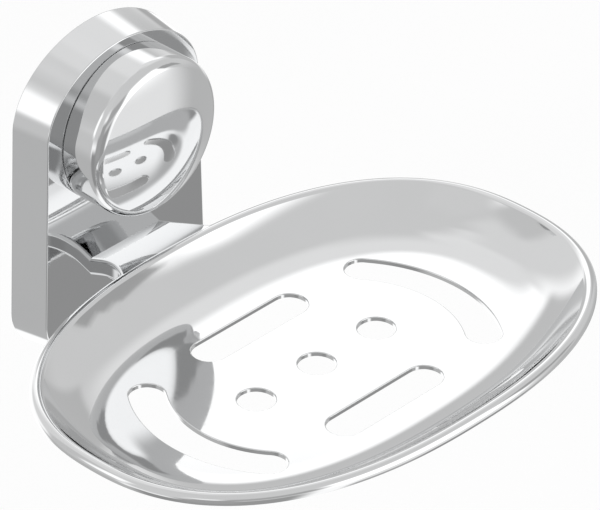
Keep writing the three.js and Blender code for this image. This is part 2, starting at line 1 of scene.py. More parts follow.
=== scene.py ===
"""A wall-mounted soap dish in polished chrome: arched base, domed knob, flared arm, pierced tray.

Shapes are in millimetres in the row's frame: the wall plane is y = 0, the dish stands out towards
-Y, X runs along the wall and Z is up.
"""

import logging
import math
from dataclasses import dataclass, field
from enum import Enum
from typing import Callable

import bmesh
import bpy
import numpy as np
from mathutils import Matrix, Vector
from mathutils.geometry import delaunay_2d_cdt


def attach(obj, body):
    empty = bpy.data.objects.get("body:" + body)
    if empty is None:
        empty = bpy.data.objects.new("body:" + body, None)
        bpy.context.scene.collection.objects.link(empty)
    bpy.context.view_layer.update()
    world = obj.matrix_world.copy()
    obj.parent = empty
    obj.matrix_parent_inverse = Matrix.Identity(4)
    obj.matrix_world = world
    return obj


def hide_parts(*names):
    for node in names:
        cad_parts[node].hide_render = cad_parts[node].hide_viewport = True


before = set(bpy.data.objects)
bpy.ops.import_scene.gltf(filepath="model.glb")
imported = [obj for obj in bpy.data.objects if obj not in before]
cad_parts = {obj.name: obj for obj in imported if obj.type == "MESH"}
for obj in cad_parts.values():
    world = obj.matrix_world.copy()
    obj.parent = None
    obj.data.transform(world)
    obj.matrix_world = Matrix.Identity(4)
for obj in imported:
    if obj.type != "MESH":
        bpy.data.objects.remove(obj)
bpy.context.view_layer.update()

LOG = logging.getLogger("soap_dish")
MM = 0.001
SAME_PLACE = 1e-6
SAME_FACING = 0.02
FULL_TURN = 2 * math.pi
RIGHT_ANGLE = math.pi / 2

Pair = tuple[float, float]
Place = tuple[float, float, float]
Array = np.ndarray
Loop = tuple[Array, Array]
Socket = bpy.types.NodeSocket
Inputs = dict[str | int, object]


class Slot(Enum):
    """The record's material slots."""

    CHROME = "chrome"
    TRAY = "chrome_tray"
    ZINC = "zinc_plate"
    STAINLESS = "stainless"


class Axes(Enum):
    """Where a piece's own X, Y and Z run in the part."""

    UPRIGHT = ((1, 0, 0), (0, 1, 0), (0, 0, 1))
    UPSIDE_DOWN = ((1, 0, 0), (0, -1, 0), (0, 0, -1))
    INTO_ROOM = ((1, 0, 0), (0, 0, 1), (0, -1, 0))
    ALONG_WALL = ((0, -1, 0), (0, 0, 1), (1, 0, 0))


# Drawing tools


def unit(angles: float | Array) -> Array:
    """Directions in the plane at angles in radians."""
    return np.stack([np.cos(angles), np.sin(angles)], axis=-1)


def sized(rows: Array) -> Array:
    """The rows, each made one unit long."""
    return rows / np.maximum(np.linalg.norm(rows, axis=1, keepdims=True), 1e-12)


def raised(plan: Array, height: float | Array) -> Array:
    """Rows of plan values with a height added to each."""
    return np.column_stack([plan, np.broadcast_to(height, len(plan))])


def added(name: str, data: bpy.types.ID) -> bpy.types.Object:
    """Puts data into the scene as an object.

    Args:
        name: The object's name.
        data: Its mesh, camera or lamp.

    Returns:
        The object.
    """
    thing = bpy.data.objects.new(name, data)
    bpy.context.scene.collection.objects.link(thing)
    return thing


@dataclass
class Section:
    """A profile drawn clockwise round the metal, each point with its outward normal."""

    points: list[Pair] = field(default_factory=list)
    normals: list[Pair] = field(default_factory=list)

    def add(self, point: Pair, normal: Pair) -> None:
        """Adds a point, unless it repeats the last one with the same normal.

        Args:
            point: Place in the profile's plane.
            normal: Outward normal there.
        """
        if self.points and math.dist(point, self.points[-1]) < SAME_PLACE:
            if math.dist(normal, self.normals[-1]) < SAME_FACING:
                return
        self.points.append(point)
        self.normals.append(normal)

    def line(self, start: Pair, end: Pair) -> "Section":
        """Adds a straight stretch, with the metal on its right.

        Args:
            start: First point.
            end: Last point.

        Returns:
            The same section.
        """
        dx, dy = end[0] - start[0], end[1] - start[1]
        size = math.hypot(dx, dy)
        for point in (start, end):
            self.add(point, (-dy / size, dx / size))
        return self

    def arc(self, centre: Pair, radius: float, start: float, end: float, steps: int) -> "Section":
        """Adds an arc; falling angles bulge outwards and rising angles are hollow.

        Args:
            centre: The arc's centre.
            radius: The arc's radius.
            start: First angle in degrees.
            end: Last angle in degrees.
            steps: How many pieces it is cut into.

        Returns:
            The same section.
        """
        sign = 1.0 if end < start else -1.0
        for i in range(steps + 1):
            c, s = unit(math.radians(start + (end - start) * i / steps)).tolist()
            self.add((centre[0] + radius * c, centre[1] + radius * s), (sign * c, sign * s))
        return self


def swept(section: Section, outline: Array, away: Array) -> list[Loop]:
    """Takes a profile of (growth, height) round an outline.

    Args:
        section: The profile.
        outline: Plan points of the outline.
        away: The outward directions there.

    Returns:
        One ring of points and normals for each point of the profile.
    """
    return [
        (raised(outline + away * grow, height), raised(away * out, up))
        for (grow, height), (out, up) in zip(section.points, section.normals)
    ]


def turned(section: Section, steps: int) -> list[Loop]:
    """Rings of a profile of (radius, height) turned about its own upright axis."""
    angles = np.linspace(0.0, FULL_TURN, steps, endpoint=False)
    return swept(section, np.zeros((steps, 2)), unit(angles))


@dataclass
class Skin:
    """A mesh in the making, drawn along any axes, with the true normal of every point."""

    axes: Axes = Axes.UPRIGHT
    origin: Place = (0.0, 0.0, 0.0)
    coat: int = 0
    count: int = 0
    points: list[Array] = field(default_factory=list)
    normals: list[Array] = field(default_factory=list)
    faces: list[tuple[tuple[int, ...], int]] = field(default_factory=list)

    def patch(self, points: Array, normals: Array) -> int:
        """Adds points with their normals.

        Args:
            points: Rows of x, y, z in millimetres, along the axes in use.
            normals: Rows of normals along the same axes.

        Returns:
            The number of the first point.
        """
        first, axes = self.count, np.array(self.axes.value, float)
        self.points.append(points @ axes + self.origin)
        self.normals.append(sized(normals @ axes))
        self.count += len(points)
        return first

    def face(self, *corners: int) -> None:
        """Adds a face that wears the coat in use."""
        self.faces.append((corners, self.coat))

    def grid(self, rings: list[Loop]) -> None:
        """Joins each ring to the next with quads.

        Args:
            rings: Points and normals of closed rings, all of one length.
        """
        firsts = [self.patch(points, normals) for points, normals in rings]
        sides = len(rings[0][0])
        for i, (low, high) in enumerate(zip(firsts, firsts[1:])):
            if np.abs(rings[i][0] - rings[i + 1][0]).max() < SAME_PLACE:
                continue
            for side in range(sides):
                after = (side + 1) % sides
                self.face(low + side, low + after, high + after, high + side)

    def lid(self, ring: Array, normal: Place) -> None:
        """Closes a flat ring with one face that has the given normal."""
        first = self.patch(ring, np.tile(np.array(normal, float), (len(ring), 1)))
        self.face(*range(first, first + len(ring)))

    def prism(
        self, corners: list[Place], low: float, high: float, edge: float,
        steps: int = 3, lids: bool = True,
    ) -> None:
        """Adds a straight piece of one outline whose end edges are rounded.

        Args:
            corners: X, Y and radius of each corner of the outline, anticlockwise.
            low: Where it starts along its axis.
            high: Where it ends.
            edge: The end edges' radius.
            steps: How many pieces each rounded edge has.
            lids: True where its ends are closed.
        """
        section = Section().arc((-edge, high - edge), edge, 90.0, 0.0, steps)
        section.arc((-edge, low + edge), edge, 0.0, -90.0, steps)
        rings = swept(section, *rounded_outline(corners))
        self.grid(rings)
        if lids:
            self.ends(rings)

    def ends(self, rings: list[Loop]) -> None:
        """Closes the first ring upwards and the last one downwards."""
        self.lid(rings[0][0], (0.0, 0.0, 1.0))
        self.lid(rings[-1][0], (0.0, 0.0, -1.0))

    def oriented(self, points: Array, normals: Array) -> tuple[list, list[int]]:
        """Turns the faces the way that their points' normals look, and drops empty ones.

        Args:
            points: All points.
            normals: Their normals.

        Returns:
            The faces' corners, and the faces' coats.
        """
        faces, coats = [], []
        for corners, coat in self.faces:
            unique = tuple(dict.fromkeys(corners))
            if len(unique) < 3:
                continue
            ring = points[list(unique)]
            area = np.cross(ring[1:-1] - ring[0], ring[2:] - ring[0]).sum(axis=0)
            if np.linalg.norm(area) < 1e-10:
                continue
            agrees = area @ normals[list(unique)].sum(axis=0) > 0
            faces.append(unique if agrees else unique[::-1])
            coats.append(coat)
        return faces, coats

    def build(
        self, name: str, node: str, slot: Slot, *coats: "Finish", crease: float = 0.0,
    ) -> None:
        """Makes the mesh, dresses it and puts it on the frame in place of a CAD node.

        Args:
            name: The piece's name.
            node: The CAD node that it stands for.
            slot: The record's slot, which gives the first coat's finish.
            *coats: The finish of each further coat.
            crease: The angle in degrees above which an edge is sharp, or 0 to keep the points'
                own normals.
        """
        points, normals = np.concatenate(self.points), np.concatenate(self.normals)
        faces, worn = self.oriented(points, normals)
        mesh = bpy.data.meshes.new(name)
        mesh.from_pydata((points * MM).tolist(), [], faces)
        mesh.polygons.foreach_set("use_smooth", [True] * len(mesh.polygons))
        for finish in (FINISHES[slot], *coats):
            mesh.materials.append(finish.material())
        mesh.polygons.foreach_set("material_index", worn)
        mesh.update()
        if crease:
            weld(mesh, crease)
        else:
            mesh.normals_split_custom_set_from_vertices(normals.tolist())
        piece = added(name, mesh)
        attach(piece, "root")
        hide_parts(node)
        LOG.info("%s: %d faces, in place of %s", name, len(faces), node)


def weld(mesh: bpy.types.Mesh, crease: float) -> None:
    """Joins a closed mesh's doubled points, turns its faces outwards and marks sharp edges.

    Args:
        mesh: The mesh.
        crease: The angle in degrees above which an edge is sharp.
    """
    work = bmesh.new()
    work.from_mesh(mesh)
    bmesh.ops.remove_doubles(work, verts=work.verts, dist=1e-7)
    bmesh.ops.recalc_face_normals(work, faces=work.faces)
    work.to_mesh(mesh)
    work.free()
    mesh.set_sharp_from_angle(angle=math.radians(crease))


def rounded_outline(corners: list[Place], steps: int = 5) -> Loop:
    """A polygon with a radius at each corner.

    Args:
        corners: X, Y and radius of each corner, anticlockwise.
        steps: How many pieces each corner has.

    Returns:
        Points, and the outward directions there.
    """
    points, away = [], []
    for i, (x, y, radius) in enumerate(corners):
        corner = np.array([x, y])
        before = corner - corners[i - 1][:2]
        after = corners[(i + 1) % len(corners)][:2] - corner
        start, end = math.atan2(before[1], before[0]), math.atan2(after[1], after[0])
        turn = (end - start + math.pi) % FULL_TURN - math.pi
        reach = radius * math.tan(abs(turn) / 2)
        bend = math.copysign(radius, turn)
        back = reach * before / np.linalg.norm(before)
        centre = corner - back - bend * unit(start - RIGHT_ANGLE)
        out = unit(start - RIGHT_ANGLE + turn * np.linspace(0.0, 1.0, steps + 1))
        points.append(centre + bend * out)
        away.append(out)
    return np.concatenate(points), np.concatenate(away)


def box_corners(left: float, low: float, right: float, high: float, radius: float) -> list[Place]:
    """The corners of an upright rectangle, anticlockwise and all with one radius."""
    return [(left, low, radius), (right, low, radius), (right, high, radius), (left, high, radius)]


@dataclass(frozen=True)
class Opening:
    """A hole through sheet metal: a band of even width along a spine, with round ends.

    The directions in left lead away from the spine's points, on its left.
    """

    spine: Array
    left: Array
    width: float

    @classmethod
    def straight(cls, x: float, y: float, length: float, width: float) -> "Opening":
        """A round hole, or a slot along X.

        Args:
            x: Its middle in X.
            y: Its middle in Y.
            length: From one round end to the other.
            width: Across it.

        Returns:
            The opening.
        """
        half = (length - width) / 2
        ends = [(x - half, y), (x + half, y)] if half > SAME_PLACE else [(x, y)]
        return cls(np.array(ends), np.tile((0.0, 1.0), (len(ends), 1)), width)

    @classmethod
    def curved(
        cls, side: int, y: float, reach: float, chord: float, bulge: float, width: float,
        steps: int,
    ) -> "Opening":
        """A slot along an arc that bulges to one side.

        Args:
            side: 1 where it bulges towards +X, and -1 towards -X.
            y: The arc's middle.
            reach: How far from the centre line the arc's crest lies.
            chord: From one end of the arc to the other.
            bulge: The arc's height over its chord.
            width: The slot's width.
            steps: How many pieces the arc has.

        Returns:
            The opening.
        """
        radius = (chord**2 / 4 + bulge**2) / (2 * bulge)
        half_turn = math.asin(chord / 2 / radius)
        out = unit(np.linspace(-half_turn, half_turn, steps + 1))
        spine = (radius * out + (reach - radius, 0.0)) * (side, 1.0) + (0.0, y)
        return cls(spine, -side * out * (side, 1.0), width)

    def outline(self, steps: int) -> Loop:
        """The opening's edge.

        Args:
            steps: How many pieces each round end has.

        Returns:
            Points round the hole, and the directions that lead away from it.
        """
        middles, away, cap = [], [], np.linspace(0.0, math.pi, steps + 1)[1:-1]
        for order, sign in ((1, -1.0), (-1, 1.0)):
            spine, lead = self.spine[::order], sign * self.left[::order]
            middles += [spine, np.tile(spine[-1], (len(cap), 1))]
            away += [lead, unit(math.atan2(lead[-1, 1], lead[-1, 0]) + cap)]
        leads = np.concatenate(away)
        return np.concatenate(middles) + leads * self.width / 2, leads

    def distance(self, plan: Array) -> Array:
        """How far plan points lie from the hole's edge.

        Args:
            plan: The plan points.

        Returns:
            The distances, below zero inside.
        """
        found = np.linalg.norm(plan - self.spine[0], axis=1)
        for start, run in zip(self.spine, np.diff(self.spine, axis=0)):
            share = np.clip((plan - start) @ run / (run @ run), 0.0, 1.0)
            reached = start + share[:, None] * run
            found = np.minimum(found, np.linalg.norm(plan - reached, axis=1))
        return found - self.width / 2


@dataclass
class Sheet:
    """Sheet metal over a plan area with openings in it, one thickness deep below its top."""

    thickness: float
    openings: list[Opening]
    height: Callable[[Array], Array]
    edge_round: float = 0.25
    clear: float = 0.45
    slack: float = 0.08
    slope_step: float = 0.01
    round_steps: int = 5
    opening_steps: int = 18

    def normals(self, plan: Array) -> Array:
        """The top surface's normals.

        Args:
            plan: Plan points.

        Returns:
            A row for each point.
        """
        step = self.slope_step
        slopes = [
            (self.height(plan - move) - self.height(plan + move)) / (2 * step)
            for move in ((step, 0.0), (0.0, step))
        ]
        return sized(np.column_stack([*slopes, np.ones(len(plan))]))

    def build(self, skin: Skin, border: Array, inside: Array, below: bool = True) -> None:
        """Adds both faces of the sheet and the rounded walls of its openings.

        Args:
            skin: The mesh in the making.
            border: Plan points of the area's outer edge, in order.
            inside: Plan points that the faces pass through, apart from those near an opening.
            below: True where the underside is made too.
        """
        loops, keep = [border], np.ones(len(inside), bool)
        for opening in self.openings:
            points, away = opening.outline(self.opening_steps)
            loops.append(points + away * self.edge_round)
            keep &= opening.distance(inside) > self.edge_round + self.clear
        plan, edges, start = np.concatenate([*loops, inside[keep]]), [], 0
        for loop in loops:
            edges += [(start + i, start + (i + 1) % len(loop)) for i in range(len(loop))]
            start += len(loop)
        found = delaunay_2d_cdt([Vector(p) for p in plan.tolist()], edges, [], 0, 1e-7)
        plan, triangles = np.array([tuple(v) for v in found[0]]), np.array(found[2])
        middles = plan[triangles].mean(axis=1)
        solid = np.ones(len(triangles), bool)
        for opening in self.openings:
            solid &= opening.distance(middles) > self.edge_round - self.slack
        surface, up = raised(plan, self.height(plan)), self.normals(plan)
        firsts = [skin.patch(surface, up)]
        if below:
            firsts.append(skin.patch(surface - up * self.thickness, -up))
        for corners in triangles[solid].tolist():
            for first in firsts:
                skin.face(*(first + corner for corner in corners))
        for opening in self.openings:
            skin.grid(self.wall(opening, below))

    def wall(self, opening: Opening, below: bool) -> list[Loop]:
        """Rings down the wall of an opening, rounded where it meets each face.

        Args:
            opening: The opening.
            below: True where the lower edge is rounded as well.

        Returns:
            Rings of points and normals.
        """
        points, away = opening.outline(self.opening_steps)
        quarter = [RIGHT_ANGLE * i / self.round_steps for i in range(self.round_steps + 1)]
        turns = [(turn, False) for turn in quarter]
        if below:
            turns += [(turn, True) for turn in quarter[::-1]]
        rings = []
        for turn, lower in turns:
            depth = self.edge_round * (1 - math.cos(turn))
            plan = points + away * self.edge_round * (1 - math.sin(turn))
            up = self.normals(plan)
            sunk = up * (self.thickness - depth if lower else depth)
            facing = (-up if lower else up) * math.cos(turn) - raised(away, 0.0) * math.sin(turn)
            rings.append((raised(plan, self.height(plan)) - sunk, facing))
        return rings


# Finishes


class Graph:
    """The node tree of a material or a world."""

    def __init__(self, owner: bpy.types.Material | bpy.types.World) -> None:
        """Opens the owner's node tree."""
        owner.use_nodes = True
        self.tree = owner.node_tree

    def feed(self, node: bpy.types.Node, inputs: Inputs) -> None:
        """Sets or links a node's inputs.

        Args:
            node: The node.
            inputs: For each input its constant, or the output that it is linked to.
        """
        for key, value in inputs.items():
            if isinstance(value, Socket):
                self.tree.links.new(value, node.inputs[key])
            else:
                node.inputs[key].default_value = value

    def add(self, kind: str, output: str, inputs: Inputs) -> Socket:
        """Adds a node.

        Args:
            kind: The node's type.
            output: The name of the output to go on with.
            inputs: For each input its constant, or the output that it is linked to.

        Returns:
            The output.
        """
        node = self.tree.nodes.new(kind)
        self.feed(node, inputs)
        return node.outputs[output]

    def noise(self, place: Socket, scale: float, detail: float) -> Socket:
        """Cloudy noise over a place."""
        inputs = {"Vector": place, "Scale": scale, "Detail": detail}
        return self.add("ShaderNodeTexNoise", "Fac", inputs)

    def maths(self, operation: str, *values: Socket) -> Socket:
        """Joins two values.

        Args:
            operation: What is done with them.
            *values: The two values.

        Returns:
            The result.
        """
        node = self.tree.nodes.new("ShaderNodeMath")
        node.operation = operation
        self.feed(node, dict(enumerate(values)))
        return node.outputs["Value"]

    def tint(self, share: Socket, first: Place, last: Place) -> Socket:
        """Runs from one colour to another.

        Args:
            share: How far it is along.
            first: The colour at 0.
            last: The colour at 1.

        Returns:
            The colour.
        """
        node = self.tree.nodes.new("ShaderNodeMix")
        node.data_type = "RGBA"
        self.feed(node, {"Factor": share, "A": (*first, 1.0), "B": (*last, 1.0)})
        return node.outputs["Result"]

    def bump(self, height: Socket, strength: float, rise: float) -> Socket:
        """A surface normal that follows a height."""
        inputs = {"Height": height, "Strength": strength, "Distance": rise}
        return self.add("ShaderNodeBump", "Normal", inputs)


@dataclass(frozen=True)
class Finish:
    """Something that a piece can wear."""

    name: str

    def dress(self, graph: Graph) -> Inputs:
        """The surface shader's inputs, with the nodes that they come from."""
        return {}

    def material(self) -> bpy.types.Material:
        """The finish as a material, made once.

        Returns:
            The material.
        """
        known = bpy.data.materials.get(self.name)
        if known:
            return known
        material = bpy.data.materials.new(self.name)
        graph = Graph(material)
        graph.feed(graph.tree.nodes["Principled BSDF"], self.dress(graph))
        return material


@dataclass(frozen=True)
class PolishedChrome(Finish):
    """Bright plated metal with a faint haze, hairline scratches and a slightly wavy ground."""

    tone: Place = (0.715, 0.72, 0.725)
    hazed: float = 0.96
    gloss_low: float = 0.02
    gloss_high: float = 0.07
    haze_scale: float = 60.0
    scratch_scale: float = 900.0
    wave_scale: float = 45.0
    wave_height: float = 0.00002

    def dress(self, graph: Graph) -> Inputs:
        """Haze and scratches in the gloss, haze in the tone, waves in the ground.

        Args:
            graph: The material's nodes.

        Returns:
            The surface shader's inputs.
        """
        place = graph.add("ShaderNodeTexCoord", "Object", {})
        haze = graph.noise(place, self.haze_scale, 6.0)
        stretched = graph.add("ShaderNodeMapping", "Vector", {
            "Vector": place, "Rotation": (0.3, 0.5, 0.7), "Scale": (1.0, 0.04, 1.0),
        })
        scratches = graph.noise(stretched, self.scratch_scale, 3.0)
        gloss = graph.add("ShaderNodeMapRange", "Result", {
            "Value": graph.maths("MULTIPLY", haze, scratches), "From Min": 0.12, "From Max": 0.42,
            "To Min": self.gloss_low, "To Max": self.gloss_high,
        })
        waves = graph.noise(place, self.wave_scale, 1.0)
        return {
            "Metallic": 1.0,
            "Roughness": gloss,
            "Base Color": graph.tint(haze, self.tone, tuple(self.hazed * c for c in self.tone)),
            "Normal": graph.bump(waves, 0.2, self.wave_height),
        }


@dataclass(frozen=True)
class DullMetal(Finish):
    """Plated, turned or cast metal with fine grain, darker in its specks."""

    tone: Place
    roughness: float
    grain: float
    speck: float = 0.78
    bump_height: float = 0.00004
    metallic: float = 1.0

    def dress(self, graph: Graph) -> Inputs:
        """Grain in the tone and the ground, cells in the gloss.

        Args:
            graph: The material's nodes.

        Returns:
            The surface shader's inputs.
        """
        place = graph.add("ShaderNodeTexCoord", "Object", {})
        grain = graph.noise(place, self.grain, 8.0)
        cells = graph.add("ShaderNodeTexVoronoi", "Distance", {
            "Vector": place, "Scale": self.grain * 0.6,
        })
        gloss = graph.add("ShaderNodeMapRange", "Result", {
            "Value": cells, "To Min": self.roughness * 0.75, "To Max": self.roughness * 1.3,
        })
        return {
            "Metallic": self.metallic,
            "Roughness": gloss,
            "Base Color": graph.tint(grain, tuple(self.speck * c for c in self.tone), self.tone),
            "Normal": graph.bump(grain, 0.35, self.bump_height),
        }


@dataclass(frozen=True)
class PaleFloor(Finish):
    """Matt paper, a little cloudy."""

    def dress(self, graph: Graph) -> Inputs:
        """Clouds in the tone.

        Args:
            graph: The material's nodes.

        Returns:
            The surface shader's inputs.
        """
        clouds = graph.noise(graph.add("ShaderNodeTexCoord", "Object", {}), 3.0, 2.0)
        tint = graph.tint(clouds, (0.97, 0.97, 0.97), (0.99, 0.99, 0.99))
        return {"Base Color": tint, "Roughness": 0.9, "Specular IOR Level": 0.1}


FINISHES = {
    Slot.CHROME: PolishedChrome("polished_chrome"),
    Slot.TRAY: PolishedChrome("polished_tray_chrome", tone=(0.72, 0.724, 0.728)),
    Slot.ZINC: DullMetal("zinc_plate", tone=(0.62, 0.64, 0.65), roughness=0.34, grain=420.0),
    Slot.STAINLESS: DullMetal(
        "turned_stainless", tone=(0.60, 0.605, 0.61), roughness=0.24, grain=900.0,
    ),
}
CASTING = DullMetal(
    "raw_zinc_casting", tone=(0.78, 0.785, 0.79), roughness=0.6, grain=260.0, metallic=0.0,
)


# The dish


@dataclass
class Dish:
    """The oval tray with its rolled lip, short skirt and pierced floor."""

    length: float = 135.0
    width: float = 92.2
    power: float = 2.36
    sheet: float = 1.2
    lip_radius: float = 1.6
    wall_angle: float = 50.0
    depth: float = 8.58
    bowl_run: float = 20.0
    skirt_drop: float = 0.6
    skirt_round: float = 0.35
    lip_z: float = -13.575
    reach: float = 66.9
    hole: float = 8.4
    hole_pitch: float = 18.6
    slot_length: float = 32.8
    slot_width: float = 8.2
    slot_offset: float = 19.7
    curved_width: float = 8.0
    curved_reach: float = 39.3
    curved_chord: float = 35.6
    curved_bulge: float = 6.0
    steps: int = 288
    bowl_rings: int = 18
    bowl_crowding: float = 1.15
    floor_rings: tuple[float, ...] = (24.0, 28.5, 33.5, 39.0)
    floor_every: int = 6
    curve_steps: int = 36
    halvings: int = 36
    search: Pair = (-2.0, -1.0)

    @property
    def bowl_start(self) -> float:
        """How far in from the outer edge the bowl leaves the lip."""
        return self.lip_radius * (1 + math.sin(math.radians(self.wall_angle)))

    @property
    def floor(self) -> float:
        """Height of the floor above the lip's centre, below zero."""
        return self.lip_radius - self.depth

    def ring(self, inset: float) -> Loop:
        """The oval at an inset from the outer edge.

        Args:
            inset: Distance in from the outer edge.

        Returns:
            Plan points, and the outward directions there.
        """
        axes, p = np.array([self.length / 2 - inset, self.width / 2 - inset]), self.power
        lead = unit(np.linspace(0.0, FULL_TURN, self.steps, endpoint=False))
        plan = lead * (np.abs(lead / axes) ** p).sum(axis=1, keepdims=True) ** (-1 / p)
        slope = np.sign(plan) * np.abs(plan) ** (p - 1) / axes**p
        return plan - (0.0, self.reach), sized(slope)

    def inset(self, plan: Array) -> Array:
        """How far in from the outer edge plan points lie, found by halving.

        Args:
            plan: The plan points.

        Returns:
            The distances.
        """
        offset, half = np.abs(plan + (0.0, self.reach)), np.array([self.length, self.width]) / 2
        low, high = (np.full(len(plan), v) for v in (self.search[0], half[1] + self.search[1]))
        for _ in range(self.halvings):
            middle = (low + high) / 2
            outside = ((offset / (half - middle[:, None])) ** self.power).sum(axis=1) > 1
            high, low = np.where(outside, middle, high), np.where(outside, low, middle)
        return (low + high) / 2

    def height(self, plan: Array) -> Array:
        """Height of the bowl's top surface.

        Args:
            plan: The plan points.

        Returns:
            The heights over them.
        """
        wall = math.radians(self.wall_angle)
        run, drop = self.bowl_run - self.bowl_start, self.lip_radius * math.cos(wall) - self.floor
        share = (self.inset(plan) - self.bowl_start) / run
        fall = np.maximum(1 - share, 0.0) ** (math.tan(wall) * run / drop)
        return self.lip_z + self.floor + drop * fall

    def openings(self) -> list[Opening]:
        """The drain holes, the straight slots and the curved slots.

        Returns:
            All openings of the floor.
        """
        y, hole, band = -self.reach, self.hole, self.curved_width
        holes = [Opening.straight(i * self.hole_pitch, y, hole, hole) for i in (-1, 0, 1)]
        slot = (self.slot_length, self.slot_width)
        curve = (self.curved_reach, self.curved_chord, self.curved_bulge)
        return [
            *holes,
            *(Opening.straight(0.0, y + side * self.slot_offset, *slot) for side in (-1, 1)),
            *(Opening.curved(side, y, *curve, band, self.curve_steps) for side in (-1, 1)),
        ]

    def lip_section(self) -> Section:
        """The lip and skirt's profile.

        Returns:
            How far it lies outside the outer edge, and its height.
        """
        r, e, low = self.lip_radius, self.skirt_round, self.skirt_round - self.skirt_drop
        start = 90.0 + self.wall_angle
        section = Section().arc((-r, 0.0), r, start, 0.0, 22)
        section.line((0.0, 0.0), (0.0, low)).arc((-e, low), e, 0.0, -90.0, 5)
        section.arc((e - self.sheet, low), e, -90.0, -180.0, 5)
        section.line((-self.sheet, low), (-self.sheet, 0.0))
        return section.arc((-r, 0.0), r - self.sheet, 0.0, start, 10)

    def lip_rings(self) -> list[Loop]:
        """The lip as rings; where the oval's inset stretches, the normals lean with it.

        Returns:
            Rings of points and normals along the lip's profile.
        """
        rings, section, step = [], self.lip_section(), 0.01
        for (out, height), (n_out, n_up) in zip(section.points, section.normals):
            plan, away = self.ring(-out)
            stretch = ((self.ring(-out - step)[0] - plan) * away).sum(axis=1) / step
            rings.append((raised(plan, self.lip_z + height), raised(away * n_out, n_up * stretch)))
        return rings

    def inner_points(self) -> Array:
        """Plan points that keep the bowl's faces even.

        Returns:
            Rings down the bowl, close at first, and wide ones over the floor.
        """
        run, rings = self.bowl_run - self.bowl_start, []
        for share in np.linspace(0.0, 1.0, self.bowl_rings + 1)[1:] ** self.bowl_crowding:
            every = 2 if share > 0.5 else 1
            rings.append(self.ring(self.bowl_start + run * share)[0][::every])
        floor = (self.ring(inset)[0][:: self.floor_every] for inset in self.floor_rings)
        return np.concatenate([*rings, *floor])

    def build(self) -> None:
        """Makes the tray."""
        skin = Skin()
        skin.grid(self.lip_rings())
        border, _ = self.ring(self.bowl_start)
        Sheet(self.sheet, self.openings(), self.height).build(skin, border, self.inner_points())
        skin.build("tray", "dish", Slot.TRAY)


# The base


